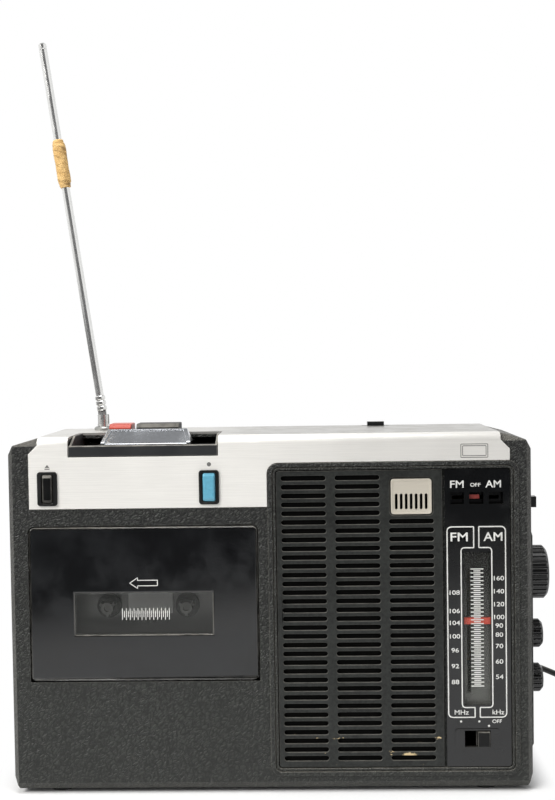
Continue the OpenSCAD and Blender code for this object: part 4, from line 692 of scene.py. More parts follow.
# Flag red darkened as painted shade, for the flag lying in shadow behind its window.
SHADED_FLAG_RED = Plastic("flag red", "8f3a34", 0.4, 1500.0, 0.006, 0.3, 0.05)
BLUE = Plastic("blue plastic", "68b0ca", 0.32, 1200.0, 0.006, 0.25, 0.05)
DIM_GREY = Plastic("dim grey plastic", "858682", 0.45, 1800.0, 0.01, 0.2, 0.1, sunk_mm=(-22.3, 126.0, 10.0))
GREY = Plastic("grey plastic", "f0f0ec", 0.45, 1800.0, 0.015, 0.25, 0.15)
RUBBER = Plastic("black rubber", "1a1a19", 0.7, 1400.0, 0.03, 0.3, 0.25)
CORD_SKIN = Plastic("cord sheath", "1c1c1b", 0.5, 2400.0, 0.01, 0.25, 0.2)
BOARD = Plastic("phenolic board", "6b4a26", 0.5, 900.0, 0.02, 0.5, 0.2)
CONE = Plastic("paper cone", "100f0e", 0.85, 1300.0, 0.08, 0.5, 0.2, 0.2)
FERRITE = Plastic("ferrite", "34302d", 0.6, 2200.0, 0.04, 0.4, 0.1)
LAMINATION = Plastic("varnished iron", "211f1d", 0.45, 1400.0, 0.02, 0.3, 0.15)
# Metals: name, colour, roughness, metallic, working, contrast, relief_mm, film, shade_along_x (painted
# shade).
# TRIM and PLATE darken towards the right as painted shade.
TRIM = Metal("brushed trim", "f6f4ef", 0.36, 0.15, Working.BRUSHED, 0.2, 0.005, 0.02, (-20.0, 60.0, 0.42))
PLATE = Metal("bright top plate", "cfcdc8", 0.28, 0.6, Working.BRUSHED, 0.3, 0.0015, 0.02, (-60.0, 0.0, 0.9))
MIC_METAL = Metal("mic plate metal", "cfc8ba", 0.36, 0.15, Working.BRUSHED, 0.16, 0.006, 0.02)
AERIAL = Metal("bright aerial", "e8e8e6", 0.14, 0.85, Working.POLISHED, 0.2, 0.001)
CHROME = Metal("chrome", "c3c6ca", 0.1, 1.0, Working.POLISHED, 0.25, 0.003)
STEEL = Metal("zinc steel", "a9a9a6", 0.34, 1.0, Working.CAST, 0.3, 0.006)
BRASS = Metal("brass", "b28f4a", 0.3, 1.0, Working.CAST, 0.3, 0.005)
# Panes: name, colour, cover, roughness, specular, bloom, haze, edge_highlight, window_cover, window_mm.
SMOKE = Pane("smoked pane", "0b0c0d", 0.97, 0.09, 0.7, "232527", 0.5, 0.6, 0.3, (-109.4, -36.5, 85.2, 107.4))
CLEAR = Pane("clear pane", "4c4d49", 0.15, 0.08, 0.4, "585955", 0.6)
CLOTH = WovenCloth("speaker cloth", "0f0f0e")
WHITE_INK = Ink("white ink", "e6e6e2")
GREY_INK = Ink("grey ink", "6d6c69")
TAPE = CrepePaper("crepe tape", "ecc482", "b0803f")


@dataclass(frozen=True)
class Look:
    """A finish for CAD nodes named with spaces between, and the width of their soft edges, none at 0."""

    finish: Finish
    names: str
    edge_mm: float = 0.0


Looks = ClassVar[tuple[Look, ...]]


@dataclass
class Bench:
    """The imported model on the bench, with short calls to dress nodes and to add pieces.

    Printing is counted from mid_x and base_z, in metres.
    """

    frame: dict[str, object]
    mid_x: float = 0.0
    base_z: float = 0.0
    base_rise_mm: float = 1.4
    weld_mm: float = 0.002
    flat_deg: float = 0.4
    sharp_deg: float = 32.0

    def measure(self) -> None:
        """Finds the places that printing is counted from on the rear case."""
        low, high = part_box("rear_case")
        self.mid_x, self.base_z = (low.x + high.x) / 2, low.z + self.base_rise_mm * MM

    def dress(self, look: Look) -> None:
        """Gives CAD nodes a finish.

        Args:
            look: the finish, the nodes and their soft edge.
        """
        for name in look.names.split():
            node = self.frame["nodes"][name]
            if not node.material_slots:
                node.data.materials.append(look.finish.material())
            for slot in node.material_slots:
                slot.material = look.finish.material()
            if look.edge_mm:
                self.soften(node, look.edge_mm)
            log.info("dressed %s in %s", name, look.finish.name)

    def soften(self, node: bpy.types.Object, edge_mm: float) -> None:
        """Gives a node's sharp corners a narrow round edge.

        Args:
            node: the CAD node.
            edge_mm: the edge's width.
        """
        weld = node.modifiers.new("joined corners", "WELD")
        weld.merge_threshold = self.weld_mm * MM
        flat = node.modifiers.new("whole faces", "DECIMATE")
        flat.decimate_type = "DISSOLVE"
        flat.angle_limit = math.radians(self.flat_deg)
        edge = node.modifiers.new("soft edge", "BEVEL")
        edge.width = edge_mm * MM
        edge.segments = 2
        edge.limit_method = "ANGLE"
        edge.angle_limit = math.radians(self.sharp_deg)
        edge.use_clamp_overlap = False
        edge.harden_normals = False

    def add(self, name: str, shape: bmesh.types.BMesh, finish: Finish, body: str, slot: str,
            smooth: bool = False) -> bpy.types.Object:
        """Makes a new piece that rides on a body.

        Args:
            name: the piece's name.
            shape: its mesh, which is used up.
            finish: its finish.
            body: the body that carries it.
            slot: the record's material slot, which is not used.
            smooth: whether its faces shade as one curved surface.

        Returns:
            The new object.
        """
        mesh = bpy.data.meshes.new(name)
        shape.to_mesh(mesh)
        shape.free()
        if smooth:
            mesh.polygons.foreach_set("use_smooth", [True] * len(mesh.polygons))
        mesh.materials.append(finish.material())
        piece = put(name, mesh)
        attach(piece, body)
        log.info("added %s on %s", name, body)
        return piece


@dataclass
class Group:
    """A sub-assembly: the looks of its CAD nodes and the pieces that it adds."""

    bench: Bench
    looks: Looks = ()

    def dress(self) -> None:
        """Dresses the group's CAD nodes."""
        for look in self.looks:
            self.bench.dress(look)

    def build(self) -> None:
        """Adds the group's own pieces; a plain group has none."""


@dataclass
class Print:
    """Flat ink shapes close before an upright face, gathered into one mesh.

    The face is a place along Y, and X and Z are counted from mid_x and base_z, in metres.
    """

    face: float
    mid_x: float
    base_z: float
    shape: bmesh.types.BMesh = field(default_factory=bmesh.new)
    gap_mm: ClassVar[float] = 0.04
    dot_sides: ClassVar[int] = 28
    corner_steps: ClassVar[int] = 6

    def spot(self, x: float, z: float) -> Point3:
        """Gives a place on the face from millimetres."""
        return (self.mid_x + x * MM, self.face - self.gap_mm * MM, self.base_z + z * MM)

    def polygon(self, points: Sequence[Point2]) -> None:
        """Adds a filled shape from points in turn, anticlockwise from the front."""
        self.shape.faces.new([self.shape.verts.new(self.spot(x, z)) for x, z in points])

    def bar(self, x0: float, x1: float, z0: float, z1: float) -> None:
        """Adds a filled rectangle."""
        self.polygon([(x0, z0), (x1, z0), (x1, z1), (x0, z1)])

    def dot(self, x: float, z: float, radius: float) -> None:
        """Adds a filled circle."""
        turns = [2 * math.pi * i / self.dot_sides for i in range(self.dot_sides)]
        self.polygon([(x + radius * math.cos(a), z + radius * math.sin(a)) for a in turns])

    def line(self, points: Sequence[Point3], width: float) -> None:
        """Adds a closed line with rounded corners.

        Args:
            points: the corners in turn, each with its radius.
            width: the line's width.
        """
        path: list[Vector] = []
        count = len(points)
        for i in range(count):
            here = Vector(points[i][:2])
            back = Vector(points[i - 1][:2]) - here
            on = Vector(points[(i + 1) % count][:2]) - here
            cut = min(points[i][2], back.length / 2, on.length / 2)
            start = here + back.normalized() * cut
            end = here + on.normalized() * cut
            for k in range(self.corner_steps + 1):
                t = k / self.corner_steps
                path.append(start * (1 - t) ** 2 + here * 2 * t * (1 - t) + end * t * t)
        verts = []
        for i in range(len(path)):
            along = (path[(i + 1) % len(path)] - path[i - 1]).normalized()
            across = Vector((-along.y, along.x)) * width / 2
            pair = (path[i] + across, path[i] - across)
            verts.append([self.shape.verts.new(self.spot(p.x, p.y)) for p in pair])
        for i in range(len(verts)):
            a, b = verts[i - 1], verts[i]
            self.shape.faces.new((a[1], b[1], b[0], a[0]))

    def words(self, text: str, x: float, z: float, height: float, wide: float, heavy: float) -> None:
        """Adds upright letters or numbers centred on a place.

        Args:
            text: what they say.
            x: their middle.
            z: their middle height.
            height: how tall they are.
            wide: how much wider than the plain letters.
            heavy: how much thicker, as a share of the letter size.
        """
        curve = bpy.data.curves.new("letters", "FONT")
        curve.body = text
        curve.offset = heavy
        holder = put("letters", curve)
        graph = bpy.context.evaluated_depsgraph_get()
        graph.update()
        flat = bpy.data.meshes.new_from_object(holder.evaluated_get(graph))
        bpy.data.objects.remove(holder)
        bpy.data.curves.remove(curve)
        xs = [v.co.x for v in flat.vertices]
        ys = [v.co.y for v in flat.vertices]
        scale = height / (max(ys) - min(ys))
        mid = ((max(xs) + min(xs)) / 2, (max(ys) + min(ys)) / 2)
        for v in flat.vertices:
            v.co = self.spot(x + (v.co.x - mid[0]) * scale * wide, z + (v.co.y - mid[1]) * scale)
        self.shape.from_mesh(flat)
        bpy.data.meshes.remove(flat)


@dataclass
class PhotoCamera:
    """The camera at the photograph's place and angle."""

    place_mm: Point3 = (14.75, -665.5, 231.5)
    yaw_deg: float = 1.433
    pitch_deg: float = 2.14
    roll_deg: float = -0.84
    lens_mm: float = 54.0

    def build(self) -> None:
        """Makes the camera and hands it to the scene."""
        data = bpy.data.cameras.new("photo camera")
        data.lens = self.lens_mm
        yaw, pitch, roll = (math.radians(a) for a in (self.yaw_deg, self.pitch_deg, self.roll_deg))
        turn = (Matrix.Rotation(yaw, 4, "Z") @ Matrix.Rotation(math.pi / 2 - pitch, 4, "X")
                @ Matrix.Rotation(roll, 4, "Z"))
        camera = put("photo camera", data)
        camera.matrix_world = Matrix.Translation(Vector(self.place_mm) * MM) @ turn
        bpy.context.scene.camera = camera


@dataclass(frozen=True)
class Lamp:
    """A square soft lamp, where it stands and what it looks at."""

    name: str
    place: Point3
    size: float
    power: float
    colour: Point3 = (1.0, 1.0, 1.0)
    target: Point3 = (0.0, 0.0, 0.1)

    def build(self) -> None:
        """Makes the lamp, turned to the middle of the object."""
        data = bpy.data.lights.new(self.name, "AREA")
        data.size = self.size
        data.energy = self.power
        data.color = self.colour
        lamp = put(self.name, data)
        lamp.location = self.place
        aim = Vector(self.target) - lamp.location
        lamp.rotation_euler = aim.to_track_quat("-Z", "Y").to_euler()


@dataclass
class Studio:
    """Pale floor, soft lamps and a white surround, which mirrors see dim in front and above.

    The dims are where a dimming starts and ends, with its shares there if they aren't none and all.
    """

    lamps: tuple[Lamp, ...] = (
        Lamp("key lamp", (-1.0, -0.88, 1.15), 0.9, 22.0, (1.0, 0.99, 0.97)),
        Lamp("fill lamp", (0.95, -0.9, 0.7), 0.8, 0.5),
        Lamp("top lamp", (0.0, -0.25, 1.5), 0.7, 11.0),
    )
    ambient: Colour = (0.42, 0.42, 0.42, 1.0)
    floor_half: float = 4.0
    floor_cells: int = 8
    paper: Colour = (0.93, 0.93, 0.93, 1.0)
    fleck: Colour = (0.8, 0.8, 0.8, 1.0)
    flecked: float = 0.03
    shade_reach: float = 0.016
    shaded: tuple[tuple[Point2, Point2], ...] = (
        ((-0.0065, 0.001), (0.137, 0.04)), ((0.225, 0.078), (0.025, 0.01)),
        ((0.2516, 0.0611), (0.022, 0.022)))
    skew: float = 0.8
    floor_dims: Point2 = (-0.35, -0.75)
    front_dims: Point2 = (0.25, -0.55)
    above_dims: Span4 = (0.55, 0.9, 0.0, 0.6)
    right_dims: Span4 = (0.2, 0.85, 0.0, 0.51)
    dim: Colour = (0.05, 0.05, 0.055, 1.0)
    white: Colour = (1.0, 1.0, 1.0, 1.0)

    def build(self) -> None:
        """Makes the floor, the lamps and the surround."""
        bpy.context.scene.view_settings.view_transform = "Standard"
        self.lay_floor()
        self.light_surround()
        for lamp in self.lamps:
            lamp.build()

    def lay_floor(self) -> None:
        """Lays the floor, white far from the object and shaded close to it."""
        shape = bmesh.new()
        cells = self.floor_cells
        bmesh.ops.create_grid(shape, x_segments=cells, y_segments=cells, size=self.floor_half)
        mesh = bpy.data.meshes.new("floor")
        shape.to_mesh(mesh)
        shape.free()
        floor = put("floor", mesh)
        paper = bpy.data.materials.new("paper floor")
        paper.use_nodes = True
        g = Graph(paper.node_tree)
        at = g.axes()
        path = g.node("LightPath").outputs
        pale = g.blend(g.times(g.noise(900.0, 3.0), self.flecked), self.paper, self.fleck)
        side = g.math("MULTIPLY_ADD", g.math("MINIMUM", at["X"], 0.0), self.skew, at["Y"])
        ahead = g.ramp(side, *self.floor_dims)
        unseen = g.times(ahead, g.math("SUBTRACT", 1.0, path["Is Camera Ray"]))
        g.fill(g.shader, Base_Color=g.blend(unseen, pale, self.dim), Roughness=0.9, Specular_IOR_Level=0.1)
        gaps = [g.ramp(self.distance(g, at, patch), 0.0, self.shade_reach) for patch in self.shaded]
        far = g.math("MINIMUM", g.math("MINIMUM", gaps[0], gaps[1]), gaps[2])
        seen = g.math("MAXIMUM", path["Is Camera Ray"], path["Is Transmission Ray"])
        mirrored = g.times(path["Is Glossy Ray"], g.math("SUBTRACT", 1.0, ahead))
        both = g.node("MixShader", Fac=g.times(far, g.math("MAXIMUM", seen, mirrored)))
        g.feed(both.inputs[1], g.shader.outputs[0])
        g.feed(both.inputs[2], g.node("Emission", Color=self.white, Strength=1.0).outputs[0])
        g.feed(paper.node_tree.nodes["Material Output"].inputs["Surface"], both.outputs[0])
        mesh.materials.append(paper)

    def distance(self, g: Graph, at: Outputs, patch: tuple[Point2, Point2]) -> Socket:
        """Gives how far a place on the floor is from a patch.

        Args:
            g: the floor's nodes.
            at: the place's X and Y.
            patch: the patch's middle and half size.

        Returns:
            The distance's socket.
        """
        steps = []
        for axis, middle, half in zip("XY", patch[0], patch[1]):
            off = g.math("ABSOLUTE", g.math("SUBTRACT", at[axis], middle))
            steps.append(g.math("MAXIMUM", g.math("SUBTRACT", off, half), 0.0))
        return g.reach(*steps)

    def light_surround(self) -> None:
        """Makes the surround: fill light, weaker from the right, and white behind and beside the object."""
        world = bpy.data.worlds.new("surround")
        bpy.context.scene.world = world
        world.use_nodes = True
        g = Graph(world.node_tree)
        path = g.node("LightPath").outputs
        way = g.axes(g.node("TexCoord").outputs["Generated"])
        side = g.math("MULTIPLY_ADD", g.math("ABSOLUTE", way["X"]), self.skew, way["Y"])
        front = g.ramp(side, *self.front_dims)
        above = g.ramp(way["Z"], *self.above_dims)
        right = g.ramp(way["X"], *self.right_dims)
        mirrored = g.blend(g.math("MAXIMUM", front, above), self.white, self.dim)
        fill = g.blend(right, self.ambient, self.dim)
        seen = g.math("MAXIMUM", path["Is Camera Ray"], path["Is Transmission Ray"])
        unseen = g.blend(path["Is Glossy Ray"], fill, mirrored)
        g.fill(world.node_tree.nodes["Background"], Color=g.blend(seen, unseen, self.white), Strength=1.0)


@dataclass
class MainsCord(Group):
    """The mains lead: out of its relief, down to the floor and into a tied coil beside the case."""

    thick: float = 3.6
    exit_x: float = 105.6
    exit_z: float = 48.4
    rear_y: float = 41.1
    relief: float = 26.0
    coil_x: float = 251.6
    coil_y: float = 61.1
    coil_z: float = 2.5
    coil_r: float = 27.6
    pitch: float = 4.05
    turns: float = 11.5
    layers: int = 4
    climb_turns: float = 0.5
    lead: float = 6.0
    drop_from: float = 0.2
    drop_over: float = 0.75
    plug_x: float = 215.6
    plug_z: float = 7.5
    length_m: float = 1.783
    shape_reach: float = 21.6
    shape: tuple[Point3, ...] = (
        (0, 0, 1), (0, 8, 1), (1, 16, 0.985), (5, 23, 0.955), (12, 28, 0.905), (21, 29.5, 0.845),
        (32, 28.5, 0.775), (44, 26.5, 0.7), (55, 25, 0.618), (65, 24, 0.528), (77, 23, 0.402),
        (90, 22.3, 0.25), (102, 22, 0.119), (114, 21.8, 0.03), (125, 21.8, 0.002))
    route_steps: int = 5
    turn_steps: int = 24
    tail_steps: int = 10
    looks: Looks = (Look(RUBBER, "strain_relief mains_plug cord_tie"),)

    def route(self) -> list[Vector]:
        """Makes the stretch from the relief to the coil, as a smooth curve.

        Returns:
            Its points in millimetres.
        """
        tip_y = self.rear_y + self.relief
        reach = (self.coil_y + self.coil_r - tip_y) / self.shape_reach
        points = [Vector((self.exit_x + x, tip_y + y * reach, self.coil_z + z * (self.exit_z - self.coil_z)))
                  for x, y, z in self.shape]
        start = Vector((self.coil_x - self.thick, self.coil_y + self.coil_r, self.coil_z))
        points += [start - Vector((self.lead, 0, 0)), start]
        curve = []
        for i in range(len(points) - 1):
            a, b = points[max(i - 1, 0)], points[i]
            c, d = points[i + 1], points[min(i + 2, len(points) - 1)]
            for k in range(self.route_steps):
                t = k / self.route_steps
                curve.append(0.5 * (2 * b + (c - a) * t + (2 * a - 5 * b + 4 * c - d) * t * t
                                    + (3 * b - a - 3 * c + d) * t ** 3))
        return curve + [start]

    def wound(self) -> list[Vector]:
        """Makes the coil's turns, layer on layer, and the short tail to the plug.

        Returns:
            Their points in millimetres.
        """
        span = self.turns / self.layers
        points = []
        for i in range(int(self.turn_steps * self.turns) + 1):
            t = i / self.turn_steps
            place = t / span
            inward = place % 1 if int(place) % 2 == 0 else 1 - place % 1
            radius = self.coil_r - self.pitch * span * inward
            climb = sum(smooth_step((t - k * span) / self.climb_turns + 0.5) for k in range(1, self.layers))
            angle = math.radians(90 - 360 * t)
            points.append(Vector((self.coil_x + radius * math.cos(angle),
                                  self.coil_y + radius * math.sin(angle), self.coil_z + self.pitch * climb)))
        top = self.coil_z + (self.layers - 1) * self.pitch
        for i in range(1, self.tail_steps + 1):
            s = i / self.tail_steps
            drop = smooth_step((s - self.drop_from) / self.drop_over)
            points.append(Vector((self.coil_x - s * (self.coil_x - self.plug_x - self.thick),
                                  self.coil_y - self.coil_r, top + drop * (self.plug_z - top))))
        return points + [Vector((self.plug_x, self.coil_y - self.coil_r, self.plug_z))]

    def build(self) -> None:
        points = [p * MM for p in self.route() + self.wound()]
        curve = bpy.data.curves.new("mains_cord", "CURVE")
        curve.dimensions = "3D"
        curve.bevel_depth = self.thick * MM / 2
        curve.bevel_resolution = 4
        curve.use_fill_caps = True
        spline = curve.splines.new("POLY")
        spline.points.add(len(points) - 1)
        for spot, p in zip(spline.points, points):
            spot.co = (p.x, p.y, p.z, 1.0)
        spline.use_smooth = True
        curve.materials.append(CORD_SKIN.material())
        cord = put("mains_cord", curve)
        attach(cord, "radio")
        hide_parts("cord_run", "cord_coil")
        log.info("added mains_cord on radio")


@dataclass
class CaseShell(Group):
    """The two halves of the case with what closes and carries them, and the battery bay."""

    looks: Looks = (
        Look(CASE, "front_case", 0.3), Look(CASE, "rear_case battery_door"), Look(RUBBER, "feet"),
        Look(STEEL, "case_screws battery_contacts"), Look(SATIN_BLACK, "battery_box jack_block"))


@dataclass
class TrimSet(Group):
    """The bright metal on the front and the top, with its two signs and a plain frame."""

    line: float = 0.35
    corner: float = 0.4
    eject_at: Point2 = (-116.2, 170.5)
    eject_half: float = 1.3
    eject_z: Span4 = (-1.3, -0.8, -0.4, 1.2)
    record_at: Point2 = (-30.9, 171.0)
    record_r: float = 1.1
    frame_at: Span4 = (100.7, 114.7, 172.9, 179.9)
    frame_insets: Point2 = (0.0, 0.9)
    looks: Looks = (Look(TRIM, "front_trim", 0.25), Look(PLATE, "top_trim"))

    def build(self) -> None:
        """Prints the signs beside the two buttons and the plain frame."""
        marks = Print(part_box("front_trim")[0].y, self.bench.mid_x, self.bench.base_z)
        x, z = self.eject_at
        left, right = x - self.eject_half, x + self.eject_half
        foot, top, base, tip = (z + step for step in self.eject_z)
        marks.polygon([(left, base), (right, base), (x, tip)])
        marks.bar(left, right, foot, top)
        marks.dot(*self.record_at, self.record_r)
        x0, x1, z0, z1 = self.frame_at
        for inset in self.frame_insets:
            ends = [(x0 + inset, z0 + inset), (x1 - inset, z0 + inset), (x1 - inset, z1 - inset),
                    (x0 + inset, z1 - inset)]
            marks.line([(x, z, self.corner) for x, z in ends], self.line)
        self.bench.add("trim_marks", marks.shape, GREY_INK, "radio", "black")


@dataclass
class CassetteDeck(Group):
    """The cassette door, its smoked pane with printed marks, and the tape works behind it."""

    step: float = 0.8
    scale_x: Point2 = (-78.0, -53.2)
    scale_z: Point2 = (89.1, 95.3)
    ticks: int = 25
    tick_w: float = 0.38
    tick_cut: Point2 = (0.0, 1.4)
    arrow_line: float = 0.42
    arrow_corner: float = 0.15
    arrow: tuple[Point2, ...] = (
        (-73.7, 108.75), (-69.6, 105.9), (-69.6, 107.3), (-59.1, 107.3), (-59.1, 110.2), (-69.6, 110.2),
        (-69.6, 111.6))
    looks: Looks = (
        Look(SMOKE, "door_window", 0.5), Look(SATIN_BLACK, "cassette_door"),
        Look(WELL_BLACK, "cassette_well"), Look(DIM_GREY, "supply_spindle takeup_spindle"),
        Look(GREY, "tape_guide"),
        Look(STEEL, "deck_plate flywheel head_bridge drive_motor"), Look(BRASS, "motor_pulley"),
        Look(RUBBER, "pinch_roller drive_belt"))

    def build(self) -> None:
        """Prints the tape scale in the window and the arrow above it."""
        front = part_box("door_window")[0].y
        scale = Print(front + self.step * MM, self.bench.mid_x, self.bench.base_z)
        x0, x1 = self.scale_x
        z0, z1 = self.scale_z
        for i in range(self.ticks):
            x = x0 + (x1 - x0) * i / (self.ticks - 1)
            cut = self.tick_cut[i % 2]
            scale.bar(x - self.tick_w / 2, x + self.tick_w / 2, z0 + cut, z1 - cut)
        self.bench.add("tape_scale", scale.shape, WHITE_INK, "door", "white")
        arrow = Print(front, self.bench.mid_x, self.bench.base_z)
        arrow.line([(x, z, self.arrow_corner) for x, z in self.arrow], self.arrow_line)
        self.bench.add("tape_arrow", arrow.shape, WHITE_INK, "door", "white")


@dataclass
class KeyBank(Group):
    """The tape keys in their tray and the two push buttons."""

    looks: Looks = (
        Look(DUSTY_BLACK, "key_tray", 0.5), Look(CHROME, "play_key", 0.25), Look(RED, "stop_key", 0.4),
        Look(KEY_BLACK, "wind_key", 0.4), Look(STEEL, "key_shaft"), Look(SATIN_BLACK, "button_bezels", 0.2),
        Look(SWITCH_BLACK, "eject_button", 0.35), Look(BLUE, "record_button", 0.3))


@dataclass
class Grille(Group):
    """The slotted panel, the microphone plate, the cloth behind them and the speaker."""

    cloth_x: Point2 = (-0.2, 83.0)
    cloth_z: Point2 = (15.8, 168.5)
    cloth_back: float = 0.35
    cloth_cells: tuple[int, int] = (42, 77)
    cloth_wave: float = 0.08
    ripples: Point3 = (9.0, 2.0, 13.0)
    hem: float = 0.125
    looks: Looks = (
        Look(PANEL, "grille_panel", 0.25), Look(MIC_METAL, "mic_grille", 0.15),
        Look(SATIN_BLACK, "speaker_frame"), Look(CONE, "speaker_cone"))

    def build(self) -> None:
        """Stretches the cloth behind the slots."""
        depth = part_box("grille_panel")[1].y + self.cloth_back * MM
        wide, tall = self.cloth_x[1] - self.cloth_x[0], self.cloth_z[1] - self.cloth_z[0]
        columns, rows = self.cloth_cells
        across, slant, up = self.ripples
        grid = []
        for j in range(rows + 1):
            row = []
            for i in range(columns + 1):
                u, v = i / columns, j / rows
                edge = min(u, 1 - u, v, 1 - v)
                ripple = math.sin(across * u + slant * v) * math.sin(up * v)
                wave = ripple * self.cloth_wave * smooth_step(edge / self.hem)
                row.append((self.cloth_x[0] * MM + u * wide * MM, depth + wave * MM,
                            self.cloth_z[0] * MM + v * tall * MM))
            grid.append(row)
        cloth = self.bench.add("grille_cloth", lattice(grid), CLOTH, "radio", "black", smooth=True)


@dataclass
class DialScale(Group):
    """The tuning scale: printed panel, clear strip with ticks, pointer, flag and switch."""

    frame_proud: float = 0.6
    line: float = 0.62
    shift: float = -0.25
    half_frame: tuple[Point3, ...] = (
        (1.35, 136.5, 0.3), (1.35, 125.5, 0.3), (8.0, 125.5, 2.0), (8.0, 41.0, 2.0), (1.35, 41.0, 0.3),
        (1.35, 35.8, 0.3), (15.2, 35.8, 2.6), (15.2, 136.5, 2.6))
    number_x: Point2 = (-11.75, 11.4)
    number_h: float = 2.35
    number_wide: float = 1.28
    heavy: float = 0.012
    left_numbers: tuple[tuple[str, float], ...] = (
        ("108", 101.9), ("106", 92.2), ("104", 85.9), ("100", 78.8), ("96", 71.4), ("92", 63.0),
        ("88", 54.6))
    right_numbers: tuple[tuple[str, float], ...] = (
        ("160", 109.3), ("140", 102.4), ("120", 95.6), ("100", 88.8), ("90", 84.3), ("80", 79.5),
        ("70", 73.5), ("60", 65.3), ("54", 57.2))
    band_words: tuple[tuple[str, float, float, float, float], ...] = (
        ("FM", -9.15, 131.2, 4.6, 1.23), ("AM", 8.45, 131.2, 4.6, 1.09), ("MHz", -8.6, 38.5, 2.5, 1.12),
        ("kHz", 10.6, 38.5, 2.5, 1.1), ("FM", -10.1, 158.9, 3.8, 1.17), ("AM", 8.8, 158.9, 3.8, 1.08),
        ("OFF", -0.5, 158.5, 1.9, 1.2), ("OFF", 9.9, 33.6, 1.9, 1.12))
    dots: tuple[Point2, ...] = ((-9.0, 33.6), (0.6, 33.6), (5.6, 31.2))
    dot_r: float = 0.55
    ticks: int = 61
    tick_z: Point2 = (52.3, 114.2)
    tick_half: Point2 = (3.35, 1.78)
    tick_h: float = 0.52
    glass_half: float = 6.9
    glass_z: Point2 = (42.3, 123.1)
    glass_y: Point2 = (0.3, 1.2)
    glass_edge: float = 0.2
    looks: Looks = (
        Look(DIAL_BLACK, "dial_panel"), Look(SIGNAL_RED, "dial_pointer"), Look(SHADED_FLAG_RED, "band_flag"),
        Look(SWITCH_BLACK, "level_switch", 0.35))

    def build(self) -> None:
        """Prints the panel and fits the clear strip."""
        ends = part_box("dial_pointer")
        mid_x = (ends[0].x + ends[1].x) / 2
        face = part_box("dial_panel")[0].y + self.frame_proud * MM
        ink = Print(face, mid_x, self.bench.base_z)
        for side in (-1, 1):
            corners = [(self.shift + side * x, z, r) for x, z, r in self.half_frame]
            ink.line(corners if side > 0 else corners[::-1], self.line)
        for numbers, x in zip((self.left_numbers, self.right_numbers), self.number_x):
            for text, z in numbers:
                ink.words(text, x, z, self.number_h, self.number_wide, self.heavy)
        for text, x, z, height, wide in self.band_words:
            ink.words(text, x, z, height, wide, self.heavy)
        for x, z in self.dots:
            ink.dot(x, z, self.dot_r)
        self.bench.add("dial_print", ink.shape, WHITE_INK, "radio", "white")
        marks = Print(face + self.glass_y[0] * MM, mid_x, self.bench.base_z)
        for i in range(self.ticks):
            z = self.tick_z[0] + (self.tick_z[1] - self.tick_z[0]) * i / (self.ticks - 1)
            half = self.tick_half[i % 2]
            marks.bar(-half, half, z - self.tick_h / 2, z + self.tick_h / 2)
        self.bench.add("dial_ticks", marks.shape, WHITE_INK, "radio", "white")
        self.fit_glass(mid_x, face)

    def fit_glass(self, mid_x: float, face: float) -> None:
        """Fits the clear strip with eased edges in the slot.

        Args:
            mid_x: middle of the dial.
            face: the panel's front.
        """
        shape = bmesh.new()
        bmesh.ops.create_cube(shape, size=1.0)
        size = (2 * self.glass_half, self.glass_y[1] - self.glass_y[0], self.glass_z[1] - self.glass_z[0])
        middle = (mid_x, face + sum(self.glass_y) / 2 * MM, self.bench.base_z + sum(self.glass_z) / 2 * MM)
        bmesh.ops.scale(shape, vec=Vector(size) * MM, verts=shape.verts)
        bmesh.ops.translate(shape, vec=Vector(middle), verts=shape.verts)
        bmesh.ops.bevel(shape, geom=shape.edges[:], offset=self.glass_edge * MM, segments=2, affect="EDGES",
                        profile=0.5)
        self.bench.add("dial_glass", shape, CLEAR, "radio", "smoke")


@dataclass
class SideControls(Group):
    """Knobs, switches and their works on the right side, and the slide on the top."""

    looks: Looks = (
        Look(KNOB_BLACK, "tuning_knob volume_knob tone_knob"), Look(SATIN_BLACK, "band_switch top_slider"),
        Look(STEEL, "tuning_gang control_pots"))


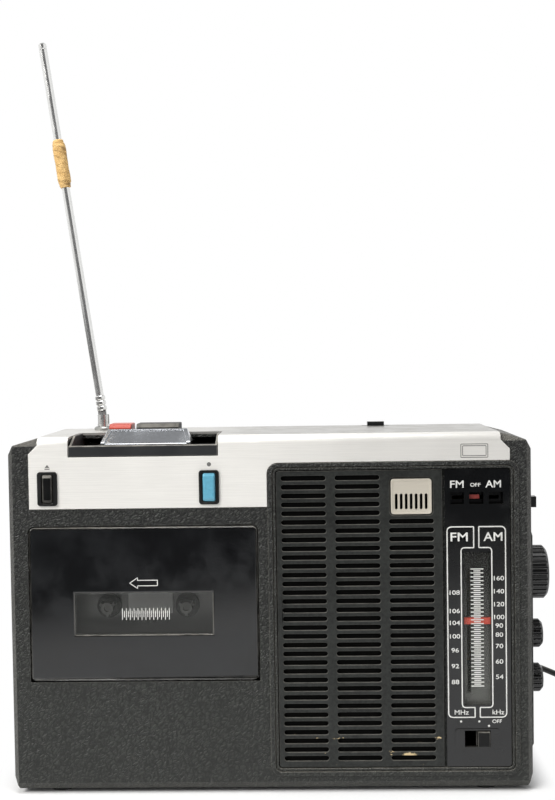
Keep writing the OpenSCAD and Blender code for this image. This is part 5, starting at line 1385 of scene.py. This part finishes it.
@dataclass
class Aerial(Group):
    """The telescopic aerial with its bracket and the paper tape wound on it."""

    pivot_mm: Point3 = (-103.0, 23.1, 196.4)
    lean_deg: float = 8.2
    tape_from: float = 134.0
    tape_to: float = 161.5
    tape_inner: float = 2.6
    tape_outer: float = 3.88
    tape_room: float = 0.3
    tape_rise: float = 0.12
    layers: tuple[Point3, ...] = ((0.0, 27.5, 0.0), (0.9, 26.8, 1.3), (2.2, 26.0, 2.9), (3.0, 24.4, 4.6))
    slants: Point2 = (0.55, 0.2)
    layer_ends: Point2 = (0.6, 0.4)
    layer_edge: float = 0.3
    dents: Point2 = (0.09, 0.05)
    rim: Point2 = (0.35, 0.5)
    around: int = 72
    along: int = 90
    looks: Looks = (
        Look(AERIAL, "antenna_tube antenna_middle antenna_tip antenna_knuckle"), Look(STEEL, "antenna_base"))

    def radius(self, a: float, s: float) -> float:
        """Gives the tape's outside, with layers over each other, slanted edges and dents.

        Args:
            a: angle round the tube.
            s: place along the tape, in millimetres.

        Returns:
            The radius in millimetres.
        """
        length = self.tape_to - self.tape_from
        lift = (self.tape_outer - self.tape_inner - self.tape_room) / len(self.layers)
        radius = self.tape_inner + self.tape_rise
        for start, end, phase in self.layers:
            slant = self.slants[0] * math.sin(a + phase) + self.slants[1] * math.sin(3 * a + 2 * phase)
            begun = smooth_step((s - start - slant - self.layer_ends[0]) / self.layer_edge)
            going = smooth_step((end - s - slant - self.layer_ends[1]) / self.layer_edge)
            radius += lift * (begun * going if start else 1.0)
        radius += self.dents[0] * math.sin(2 * a + 0.35 * s)
        radius += self.dents[1] * math.sin(5 * a - 0.9 * s + 1.0)
        return radius - self.rim[0] * (1 - smooth_step(min(s, length - s) / self.rim[1]))

    def build(self) -> None:
        """Winds the tape over the tube."""
        lean = math.radians(self.lean_deg)
        axis = Vector((-math.sin(lean), 0.0, math.cos(lean)))
        side = Vector((math.cos(lean), 0.0, math.sin(lean)))
        front = Vector((0.0, 1.0, 0.0))
        pivot = Vector(self.pivot_mm)
        rings = []
        for j in range(self.along + 1):
            s = (self.tape_to - self.tape_from) * j / self.along
            ring = []
            for i in range(self.around):
                a = 2 * math.pi * i / self.around
                out = (side * math.cos(a) + front * math.sin(a)) * self.radius(a, s)
                ring.append((pivot + axis * (self.tape_from + s) + out) * MM)
            rings.append(ring)
        tape = self.bench.add("tape_wrap", lattice(rings, closed=True), TAPE, "aerial", "tape", smooth=True)
        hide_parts("antenna_tape")


@dataclass
class InnerWorks(Group):
    """Board, transformer and ferrite rod inside the case."""

    looks: Looks = (
        Look(BOARD, "main_board"), Look(LAMINATION, "mains_transformer"), Look(FERRITE, "ferrite_aerial"))


def main() -> None:
    """Builds and dresses each sub-assembly in order."""
    logging.basicConfig(level=logging.INFO, format="%(name)s: %(message)s")
    bench = Bench(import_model())
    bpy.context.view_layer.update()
    bench.measure()
    PhotoCamera().build()
    Studio().build()
    for kind in (MainsCord, CaseShell, TrimSet, CassetteDeck, KeyBank, Grille, DialScale, SideControls,
                 Aerial, InnerWorks):
        group = kind(bench)
        group.dress()
        group.build()


if __name__ == "__main__":
    main()
